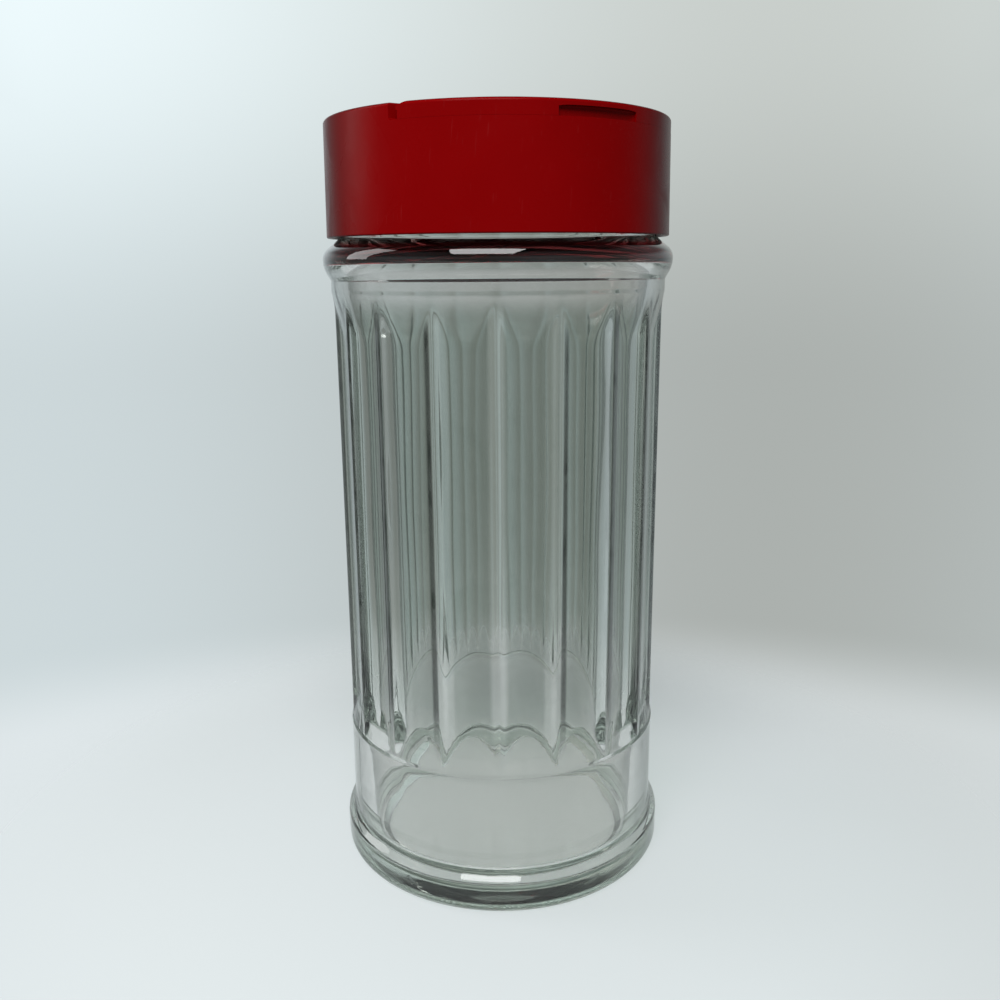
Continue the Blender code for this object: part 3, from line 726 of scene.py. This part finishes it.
def rim(edge, radius, bottom, top):
    """A standing rim with rounded lower edges, round the outline of an opening."""
    soft = quarter(RIM_SOFTNESS, 3)
    levels = [(0.0, top)] + [(inset, bottom + up) for inset, up in soft]
    levels += [(RIM_WALL - inset, bottom + up) for inset, up in reversed(soft)] + [(RIM_WALL, top)]
    rings = []
    for inset, height in levels:
        outline = segment(edge + inset, radius - inset, OPENING_FILLET - inset)
        rings.append([(x, y, height) for x, y in outline])
    return solid("rim", *ring_faces(rings + rings[:1]))


def finger_slot(top):
    """A cutter for the scoop under a flap's edge: it gets shallower towards its ends, which are round."""
    outside = CAP_RADIUS + 2 * MM
    low = DECK - 1 * MM
    rings = []
    for share in along(-1, 1, 48)[1:-1]:
        angle = math.asin(share * FINGER_SLOT / CAP_RADIUS)
        fade = math.sqrt(1 - share**6)
        inner = CAP_RADIUS - FINGER_SLOT_DEPTH * fade
        high = top - SLOT_END_DROP * (1 - fade)
        corners = [(outside, low, 0), (inner, low, 0), (inner, high, SLOT_FILLET * fade), (outside, high, 0)]
        section = rounded(corners, step_angle=18.0)
        rings.append([(r * math.sin(angle), -r * math.cos(angle), height) for r, height in section])
    return lofted("slot", rings)


def flap(name, facing, rim_edge, rim_radius, rim_bottom):
    """A flap, shaped facing -Y and then turned to its side."""
    lip_foot = DECK + SEAM
    lip_inside = CAP_RADIUS - FLAP_LIP_WIDTH
    underside = CAP_TOP - FLAP_PLATE
    low = DECK - 1 * MM
    top = CAP_TOP + 0.001 * MM
    body = turned(name, rounded([
        (0, CAP_TOP, 0),
        (CAP_RADIUS, CAP_TOP, CAP_FILLET),
        (CAP_RADIUS, lip_foot, 0.02 * MM),
        (lip_inside, lip_foot, 0.12 * MM),
        (lip_inside, underside, 0.3 * MM),
        (0, underside, 0),
    ], step_angle=12.0))
    away = rounded([
        (WIDE, low, 0),
        (-FLAP_EDGE, low, 0),
        (-FLAP_EDGE, WEB_TOP, 0.1 * MM),
        (-GROOVE_EDGE, top, GROOVE_FILLET),
        (-GROOVE_EDGE - 1.5 * MM, top, 0),
        (-GROOVE_EDGE - 1.5 * MM, CAP_TOP + WIDE, 0),
        (WIDE, CAP_TOP + WIDE, 0),
    ], step_angle=8.0)
    carve(body, prism("away", away, -WIDE, WIDE, "X"))
    carve(body, block((-WIDE, -FLAP_EDGE - LIP_SETBACK, low), (WIDE, 0, underside)))
    carve(body, finger_slot(underside + SLOT_RISE))
    carve(body, rim(rim_edge, rim_radius, rim_bottom, underside + 0.35 * MM), "UNION")
    for x in (-MARK_SPACING, 0.0, MARK_SPACING):
        mark = [(MARK_RADIUS, underside - 1 * MM), (MARK_RADIUS, underside + MARK_DEPTH)]
        carve(body, pin(x, -rim_edge - MARK_OFFSET, mark))
    body.data.transform(Matrix.Rotation(facing, 4, "Z"))
    return crisp(body)


def hinge_web(name, facing):
    """The thin web between the bridge and a flap, thicker at both of its roots."""
    places = along(BRIDGE - WEB_OVERLAP, FLAP_EDGE + WEB_OVERLAP, 20)
    half_length = math.sqrt((CAP_RADIUS - CAP_FILLET) ** 2 - FLAP_EDGE**2)
    section = [(y, WEB_TOP - 0.02 * MM) for y in places]
    for y in reversed(places):
        to_root = min(abs(y - BRIDGE), abs(y - FLAP_EDGE)) if BRIDGE < y < FLAP_EDGE else 0.0
        thicker = WEB_ROOT_DEPTH * max(0.0, 1 - to_root / WEB_ROOT_REACH) ** 2
        section.append((y, WEB_TOP - WEB_THICKNESS - thicker))
    rings = []
    for x in along(-half_length, half_length, 48):
        thinner = max(0.0, abs(x) - half_length + WEB_END) * 0.5
        rings.append([(x, -y, z - thinner if z > WEB_TOP - 0.1 * MM else z + thinner) for y, z in section])
    body = lofted(name, rings)
    body.data.transform(Matrix.Rotation(facing, 4, "Z"))
    body.data.set_sharp_from_angle(angle=math.radians(40))
    return body


def cap_liner():
    """The foam ring, dented a little where the lip has pressed it."""
    inner, outer = BORE_RADIUS + 0.2 * MM, LINER_HIGH.x
    bottom, top = LINER_LOW.z, LINER_HIGH.z
    corners = ((outer, bottom), (outer, top), (inner, top), (inner, bottom))
    outline = rounded([(radius, height, LINER_FILLET) for radius, height in corners], step_angle=20.0)
    middle = (inner + outer) / 2
    for a in along(math.pi, 0, 10):
        outline.append(Vector((middle + DENT_REACH * math.cos(a), bottom + DENT_DEPTH * math.sin(a))))
    return crisp(turned("foam_liner", outline, closed=True))


def add(tree, kind, inputs=None, **settings):
    """A new shader node. Its inputs are values or other nodes' outputs."""
    made = tree.nodes.new("ShaderNode" + kind)
    for name, value in settings.items():
        setattr(made, name, value)
    for key, value in (inputs or {}).items():
        if isinstance(value, bpy.types.NodeSocket):
            tree.links.new(value, made.inputs[key])
        else:
            made.inputs[key].default_value = value
    return made


def calc(tree, operation, *values):
    """The output of a Math node."""
    return add(tree, "Math", dict(enumerate(values)), operation=operation).outputs[0]


def times(tree, first, *others):
    """The product of values."""
    for other in others:
        first = calc(tree, "MULTIPLY", first, other)
    return first


def ramp(tree, value, low, high, first=0.0, last=1.0):
    """A smooth change from first to last, as value goes from low to high."""
    inputs = {"Value": value, "From Min": low, "From Max": high, "To Min": first, "To Max": last}
    return add(tree, "MapRange", inputs, interpolation_type="SMOOTHSTEP").outputs[0]


def mix_colour(tree, share, first, last):
    """The output of a node that mixes two colours."""
    inputs = {"Factor": share, 6: first, 7: last}
    return add(tree, "Mix", inputs, data_type="RGBA").outputs[2]


def scaled(tree, colour, share):
    """A colour, brighter or darker."""
    return add(tree, "VectorMath", {0: colour, "Scale": share}, operation="SCALE").outputs[0]


def principled(name):
    """A new material and its shader."""
    made = bpy.data.materials.new(name)
    made.use_nodes = True
    return made, made.node_tree.nodes["Principled BSDF"]


def grouped(name, inputs, outputs):
    """A new node group with named number sockets: its tree, what it is given and what it puts out."""
    tree = bpy.data.node_groups.new(name, "ShaderNodeTree")
    for label, default in inputs.items():
        socket = tree.interface.new_socket(label, in_out="INPUT", socket_type="NodeSocketFloat")
        socket.default_value = default
    for label in outputs:
        tree.interface.new_socket(label, in_out="OUTPUT", socket_type="NodeSocketFloat")
    return tree, tree.nodes.new("NodeGroupInput").outputs, tree.nodes.new("NodeGroupOutput").inputs


def noise(tree, place, size, detail=2.0, distortion=0.0):
    """Soft noise from 0 to 1 whose patches are about size millimetres across."""
    scale = calc(tree, "DIVIDE", 1 / MM, size)
    inputs = {"Vector": place, "Scale": scale, "Detail": detail, "Distortion": distortion}
    return add(tree, "TexNoise", inputs).outputs[0]


def surface_relief():
    """Height in millimetres: slow waves that the mould left, and a fine grain."""
    sizes = {"Wave Size": 8.0, "Wave Height": 0.01, "Grain Size": 0.4, "Grain Height": 0.001}
    tree, given, result = grouped("surface_relief", sizes, ["Height"])
    place = add(tree, "TexCoord").outputs["Object"]
    waves = times(tree, noise(tree, place, given["Wave Size"], 1.0), given["Wave Height"])
    grain = noise(tree, place, given["Grain Size"], 3.0)
    tree.links.new(calc(tree, "MULTIPLY_ADD", grain, given["Grain Height"], waves), result["Height"])
    return tree


def handling_wear():
    """Masks for what use leaves: fine scratches, finger smears, and dust where the surface faces up."""
    sizes = {"Scratch Width": 0.25, "Scratch Share": 0.5, "Smear Size": 12.0, "Dust Size": 0.35}
    tree, given, result = grouped("handling_wear", sizes, ["Scratches", "Smears", "Dust"])
    coordinates = add(tree, "TexCoord").outputs
    place = coordinates["Object"]
    scratches = 0.0
    for turn in SCRATCH_TURNS:
        lie = {"Rotation": (turn, 0.6 * turn, turn)}
        stretched = {"Vector": place, **lie, "Scale": (SCRATCH_STRETCH, 1, 1)}
        stretched = add(tree, "Mapping", stretched, vector_type="TEXTURE").outputs[0]
        streak = noise(tree, stretched, given["Scratch Width"], 1.0)
        facing = {"Vector": coordinates["Normal"], **lie}
        facing = add(tree, "Mapping", facing, vector_type="TEXTURE").outputs[0]
        end_on = calc(tree, "ABSOLUTE", add(tree, "SeparateXYZ", {0: facing}).outputs[0])
        streak = times(tree, ramp(tree, streak, *SCRATCHED), ramp(tree, end_on, *END_ON, 1.0, 0.0))
        scratches = calc(tree, "MAXIMUM", streak, scratches)
    tree.links.new(times(tree, scratches, given["Scratch Share"]), result["Scratches"])
    smears = noise(tree, place, given["Smear Size"], 4.0, 1.5)
    tree.links.new(ramp(tree, smears, *SMEARED), result["Smears"])
    upward = add(tree, "SeparateXYZ", {0: add(tree, "NewGeometry").outputs["Normal"]}).outputs[2]
    specks = ramp(tree, noise(tree, place, given["Dust Size"], 3.0), *DUSTED)
    tree.links.new(times(tree, specks, ramp(tree, upward, *DUST_LIES)), result["Dust"])
    return tree


def worked(tree, shader, relief, wear):
    """Gives a shader its relief. Returns the wear masks and the bump. Both groups' values come by name."""
    height = add(tree, "Group", relief, node_tree=RELIEF).outputs["Height"]
    bump = add(tree, "Bump", {"Strength": 1.0, "Distance": MM, "Height": height})
    tree.links.new(bump.outputs[0], shader.inputs["Normal"])
    return add(tree, "Group", wear, node_tree=WEAR).outputs, bump


def glass_tint_and_painted_light(tree, smears):
    """The glass's own tint, and painted light over it: painted shade along the flutes, in the heel's thick
    foot and at a slant, a painted highlight on the near ridges, and the cap's red painted into the bead.
    """
    place = add(tree, "TexCoord").outputs["Object"]
    x, y, height = add(tree, "SeparateXYZ", {0: place}).outputs
    outward = add(tree, "VectorMath", {0: place, 1: (1, 1, 0)}, operation="MULTIPLY").outputs[0]
    outward = add(tree, "VectorMath", {0: outward}, operation="LENGTH").outputs[1]
    steep = add(tree, "LayerWeight", {"Blend": 0.5}).outputs["Facing"]

    # Painted shade along the flutes, a little lighter in finger smears
    flute_shade = times(tree, ramp(tree, height, *FLUTE_SHADE_BEGINS), ramp(tree, height, *FLUTE_SHADE_ENDS, 1.0, 0.0))
    flute_shade = times(tree, flute_shade, ramp(tree, smears, 0.0, 1.0, 0.92, 1.0))
    shaded_flutes = mix_colour(tree, ramp(tree, height, *FLUTE_SHADE_DEEPENS), LOW_FLUTE_SHADE, HIGH_FLUTE_SHADE)
    tint = mix_colour(tree, flute_shade, CLEAR_TINT, shaded_flutes)

    # The ridges on the wall's near side: 1 on a ridge, -1 in the middle of a flute. Their crests get a
    # painted highlight.
    around = times(tree, calc(tree, "ARCTAN2", x, times(tree, y, -1.0)), FLUTE_COUNT)
    wave = calc(tree, "COSINE", calc(tree, "SUBTRACT", around, FLUTE_COUNT * RIDGE_PHASE))
    outside = ramp(tree, outward, INSIDE_RADIUS + 1 * MM, INSIDE_RADIUS + 2 * MM)
    near = calc(tree, "SUBTRACT", outside, add(tree, "NewGeometry").outputs["Backfacing"])
    near = times(tree, calc(tree, "ABSOLUTE", near), flute_shade)
    crest_highlight = times(tree, ramp(tree, wave, *CREST_WAVE, 0.0, 0.85), near)
    tint = mix_colour(tree, crest_highlight, tint, CREST_HIGHLIGHT)

    # The heel's thick foot: the thick glass's own deeper tint, with painted shade on top
    heel_edge = HEEL_TOP - HEEL_SLOPE
    foot = ramp(tree, height, heel_edge - 1.2 * MM, heel_edge + 0.3 * MM, 1.0, 0.0)
    foot = times(tree, foot, ramp(tree, outward, HEEL_RADIUS - 4 * MM, HEEL_RADIUS - 2 * MM))
    tint = mix_colour(tree, foot, tint, HEEL_TINT_AND_SHADE)

    # Painted shade: darker where the glass is seen at a slant, and nearly black on the near ribs there
    tint = mix_colour(tree, ramp(tree, steep, *GLASS_SLANT), tint, SLANT_SHADE)
    rib = times(tree, ramp(tree, wave, *RIB_WAVE), times(tree, outside, near), ramp(tree, steep, *RIB_SLANT))
    tint = mix_colour(tree, rib, tint, RIB_SHADE)

    # The cap's red, painted into the bead as the cap seen through it
    bead = ramp(tree, height, SHOULDER_CEILING - 0.3 * MM, SHOULDER_CEILING + 0.3 * MM)
    bead = times(tree, bead, ramp(tree, height, BEAD_TOP - 0.4 * MM, BEAD_TOP + 0.8 * MM, 1.0, 0.0))
    bead = times(tree, bead, ramp(tree, outward, NECK_RADIUS, NECK_RADIUS + 1 * MM))
    return mix_colour(tree, bead, tint, BEAD_PAINTED_CAP_RED)


def glass_material():
    """Clear pressed glass with a grey-green tint, a little duller along its fine scratches. Its base colour
    also carries painted shade, a painted highlight and the cap's red painted into the bead.
    """
    made, shader = principled("clear_glass")
    tree = made.node_tree
    relief = {"Wave Size": 5.0, "Wave Height": 0.012, "Grain Size": 1.2, "Grain Height": 0.0003}
    wear, _ = worked(tree, shader, relief, {"Scratch Width": 0.3, "Scratch Share": 0.5, "Smear Size": 16.0})
    tree.links.new(glass_tint_and_painted_light(tree, wear["Smears"]), shader.inputs["Base Color"])
    tree.links.new(times(tree, wear["Scratches"], 0.12), shader.inputs["Roughness"])
    shader.inputs["IOR"].default_value = 1.51
    shader.inputs["Transmission Weight"].default_value = 1.0
    output = tree.nodes["Material Output"]
    body = add(tree, "VolumeAbsorption", {"Color": (0.56, 0.65, 0.575, 1), "Density": 15.0})
    tree.links.new(body.outputs["Volume"], output.inputs["Volume"])
    through = add(tree, "BsdfTransparent", {"Color": (0.98, 0.985, 0.98, 1)})
    shadow = add(tree, "LightPath").outputs["Is Shadow Ray"]
    mix = add(tree, "MixShader", {0: shadow, 1: shader.outputs[0], 2: through.outputs[0]})
    tree.links.new(mix.outputs[0], output.inputs["Surface"])
    return made


def foam_material():
    """White foamed liner: small closed cells under a dull skin."""
    made, shader = principled("white_foam")
    tree = made.node_tree
    shader.inputs["Roughness"].default_value = 0.8
    relief = {"Wave Size": 4.0, "Wave Height": 0.05, "Grain Size": 0.3, "Grain Height": 0.01}
    wear, bump = worked(tree, shader, relief, {"Scratch Share": 0.3, "Smear Size": 9.0})
    place = add(tree, "TexCoord").outputs["Object"]
    cells = add(tree, "TexVoronoi", {"Vector": place, "Scale": 1 / FOAM_CELL})
    pits = ramp(tree, cells.outputs["Distance"], 0.1, 0.6, 0.0, 1.0)
    skin = {"Strength": 0.6, "Distance": 0.04 * MM, "Height": pits, "Normal": bump.outputs[0]}
    tree.links.new(add(tree, "Bump", skin).outputs[0], shader.inputs["Normal"])
    white = mix_colour(tree, pits, FOAM_WHITE, FOAM_PIT)
    white = mix_colour(tree, times(tree, wear["Smears"], 0.5), white, FOAM_STAIN)
    tree.links.new(white, shader.inputs["Base Color"])
    return made


def plastic_material(name, flexed=False):
    """Deep red polypropylene, softly glossy, with painted shade that darkens it at a slant. A flexed web is
    whitened where it bends.
    """
    made, shader = principled(name)
    tree = made.node_tree
    shader.inputs["IOR"].default_value = 1.49
    shader.inputs["Specular IOR Level"].default_value = 0.035
    relief = {"Wave Size": 9.0, "Wave Height": 0.02, "Grain Size": 0.16, "Grain Height": 0.0012}
    wear, _ = worked(tree, shader, relief, {"Scratch Width": 0.22, "Scratch Share": 0.7, "Smear Size": 13.0})
    place = add(tree, "TexCoord").outputs["Object"]
    red = mix_colour(tree, noise(tree, place, 11.0, 2.0, 0.8), DEEP_RED, LIGHT_RED)
    red = mix_colour(tree, times(tree, wear["Scratches"], 0.14), red, SCRATCHED_RED)
    red = mix_colour(tree, times(tree, wear["Dust"], 0.03), red, DUST)
    # Painted shade: the red darkens where the plastic is seen at a slant
    steep = add(tree, "LayerWeight", {"Blend": 0.5}).outputs["Facing"]
    red = mix_colour(tree, ramp(tree, steep, *PLASTIC_SLANT, 0.0, 0.7), red, SLANT_SHADE_RED)
    if flexed:
        y = add(tree, "SeparateXYZ", {0: place}).outputs[1]
        off = calc(tree, "ABSOLUTE", calc(tree, "SUBTRACT", calc(tree, "ABSOLUTE", y), HINGE_Y - 0.35 * MM))
        bent = ramp(tree, off, 0.1 * MM, 0.5 * MM, 0.55, 0.0)
        red = mix_colour(tree, times(tree, bent, noise(tree, place, 0.5, 3.0)), red, BENT_RED)
    tree.links.new(red, shader.inputs["Base Color"])
    scratched = calc(tree, "MULTIPLY_ADD", wear["Scratches"], 0.14, 0.27)
    tree.links.new(calc(tree, "MULTIPLY_ADD", wear["Smears"], 0.09, scratched), shader.inputs["Roughness"])
    return made


def camera():
    """The camera, where the photograph was taken."""
    made = bpy.data.objects.new("camera", bpy.data.cameras.new("camera"))
    bpy.context.scene.collection.objects.link(made)
    made.data.lens = CAMERA_LENS
    made.data.sensor_width = CAMERA_SENSOR
    made.data.clip_start = 1 * MM
    turn = Matrix.Rotation(CAMERA_AZIMUTH, 4, "Z")
    tilt = Matrix.Rotation(math.pi / 2 - CAMERA_PITCH, 4, "X")
    roll = Matrix.Rotation(CAMERA_ROLL, 4, "Z")
    place = Matrix.Translation((0, -CAMERA_DISTANCE, CAMERA_HEIGHT))
    made.matrix_world = turn @ place @ tilt @ roll
    bpy.context.scene.camera = made


def lamp(name, azimuth, elevation, distance, width, height, power):
    """A soft area lamp that faces the jar. Its azimuth is from the camera's side, in degrees."""
    data = bpy.data.lights.new(name, "AREA")
    data.shape = "RECTANGLE"
    data.size = width
    data.size_y = height
    data.energy = power
    made = bpy.data.objects.new(name, data)
    bpy.context.scene.collection.objects.link(made)
    round_by = CAMERA_AZIMUTH + math.radians(azimuth)
    up_by = math.radians(elevation)
    level = math.cos(up_by)
    back = Vector((math.sin(round_by) * level, -math.cos(round_by) * level, math.sin(up_by)))
    made.location = Vector(LAMP_AIM) + back * distance
    made.rotation_mode = "QUATERNION"
    made.rotation_quaternion = (-back).to_track_quat("-Z", "Y")
    made.visible_camera = False


def stage():
    """A pale floor that fades into the backdrop."""
    bm = bmesh.new()
    bmesh.ops.create_circle(bm, cap_ends=True, segments=96, radius=FLOOR_FADE[1])
    mesh = bpy.data.meshes.new("floor")
    bm.to_mesh(mesh)
    bm.free()
    floor = bpy.data.objects.new("floor", mesh)
    bpy.context.scene.collection.objects.link(floor)
    made, shader = principled("pale_paper")
    tree = made.node_tree
    shader.inputs["Base Color"].default_value = PAPER
    shader.inputs["Roughness"].default_value = 0.9
    shader.inputs["Specular IOR Level"].default_value = 0.1
    place = add(tree, "TexCoord").outputs["Object"]
    reach = add(tree, "VectorMath", {0: place}, operation="LENGTH").outputs[1]
    clear = add(tree, "BsdfTransparent").outputs[0]
    mix = add(tree, "MixShader", {0: ramp(tree, reach, *FLOOR_FADE), 1: shader.outputs[0], 2: clear})
    tree.links.new(mix.outputs[0], tree.nodes["Material Output"].inputs["Surface"])
    mesh.materials.append(made)


def backdrop():
    """The room: a pale backdrop with slow dark bands over a paler floor, dimmer at the sides and overhead."""
    world = bpy.data.worlds.new("room")
    bpy.context.scene.world = world
    world.use_nodes = True
    tree = world.node_tree
    x, y, up = add(tree, "SeparateXYZ", {0: add(tree, "TexCoord").outputs["Generated"]}).outputs
    azimuth = calc(tree, "ADD", calc(tree, "ARCTAN2", x, y), CAMERA_AZIMUTH)
    turn = times(tree, calc(tree, "SUBTRACT", azimuth, BAND_AZIMUTH), BAND_COUNT)
    shade = calc(tree, "MULTIPLY_ADD", calc(tree, "COSINE", turn), 0.5, 0.5)
    wall = mix_colour(tree, shade, PALE_WALL, DIM_WALL)
    ground = mix_colour(tree, shade, PALE_GROUND, DIM_GROUND)
    pale = mix_colour(tree, ramp(tree, up, *WALL_FOOT, 1.0, 0.0), wall, ground)
    pale = scaled(tree, pale, ramp(tree, up, *WALL_BRIGHTENS, 1.0, 1.42))
    ahead = calc(tree, "COSINE", azimuth)
    sides = ramp(tree, ahead, *SIDES, 1.0, 0.0)
    dimmed = calc(tree, "MULTIPLY_ADD", sides, ramp(tree, up, *SIDES_DARKEN, -0.08, -0.28), 1.0)
    above = times(tree, ramp(tree, up, *CEILING, 1.0, 0.12), ramp(tree, ahead, *CEILING_AHEAD, 0.3, 1.0))
    dimmed = times(tree, dimmed, calc(tree, "MAXIMUM", above, ramp(tree, up, *OVERHEAD, 1.0, 0.0)))
    room = mix_colour(tree, ramp(tree, up, *FLOOR_BELOW, 1.0, 0.0), scaled(tree, pale, dimmed), UNDERFOOT)
    path = add(tree, "LightPath").outputs
    shown = calc(tree, "MAXIMUM", path["Is Camera Ray"], path["Is Glossy Ray"])
    shown = calc(tree, "MAXIMUM", shown, path["Is Transmission Ray"])
    level = calc(tree, "MULTIPLY_ADD", shown, 1 - FILL, FILL)
    tree.links.new(room, tree.nodes["Background"].inputs["Color"])
    tree.links.new(level, tree.nodes["Background"].inputs["Strength"])


camera()
stage()
backdrop()
bpy.context.scene.view_settings.view_transform = "Standard"
cycles = bpy.context.scene.cycles
cycles.max_bounces = 32
cycles.transmission_bounces = 24
cycles.glossy_bounces = 12
cycles.caustics_reflective = False
cycles.caustics_refractive = False
lamp("key", azimuth=-10, elevation=50, distance=0.8, width=0.5, height=0.5, power=7.0)
lamp("side", azimuth=-100, elevation=28, distance=0.8, width=0.3, height=0.6, power=1.8)

RELIEF = surface_relief()
WEAR = handling_wear()
glass = glass_material()
red = plastic_material("red_plastic")
web_red = plastic_material("flexed_red_plastic", flexed=True)
foam = foam_material()

plug = (OPENING_EDGE + PLUG_CLEARANCE, OPENING_RADIUS - PLUG_CLEARANCE, DECK - PLUG_DEPTH)
seal = (SEAL_RIM_EDGE, SEAL_RIM_RADIUS, DECK + SEAM)
ridden = (
    (glass_jar(), glass, "jar", "jar_glass", "glass_jar"),
    (cap_shell(), red, "cap", "cap_plastic", "cap_shell"),
    (flap("pour_flap_body", 0.0, *plug), red, "pour_lid", "cap_plastic", "pour_flap"),
    (flap("sprinkle_flap_body", math.pi, *seal), red, "sprinkle_lid", "cap_plastic", "sprinkle_flap"),
    (cap_liner(), foam, "liner", "liner_foam", "cap_liner"),
)
for obj, finish, body, slot, node in ridden:
    obj.data.materials.clear()
    obj.data.materials.append(finish)
    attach(obj, body)
    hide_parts(node)
for name, facing, lid in (("pour_web", 0.0, "pour_lid"), ("sprinkle_web", math.pi, "sprinkle_lid")):
    web = hinge_web(name, facing)
    web.data.materials.append(web_red)
    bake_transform(web)
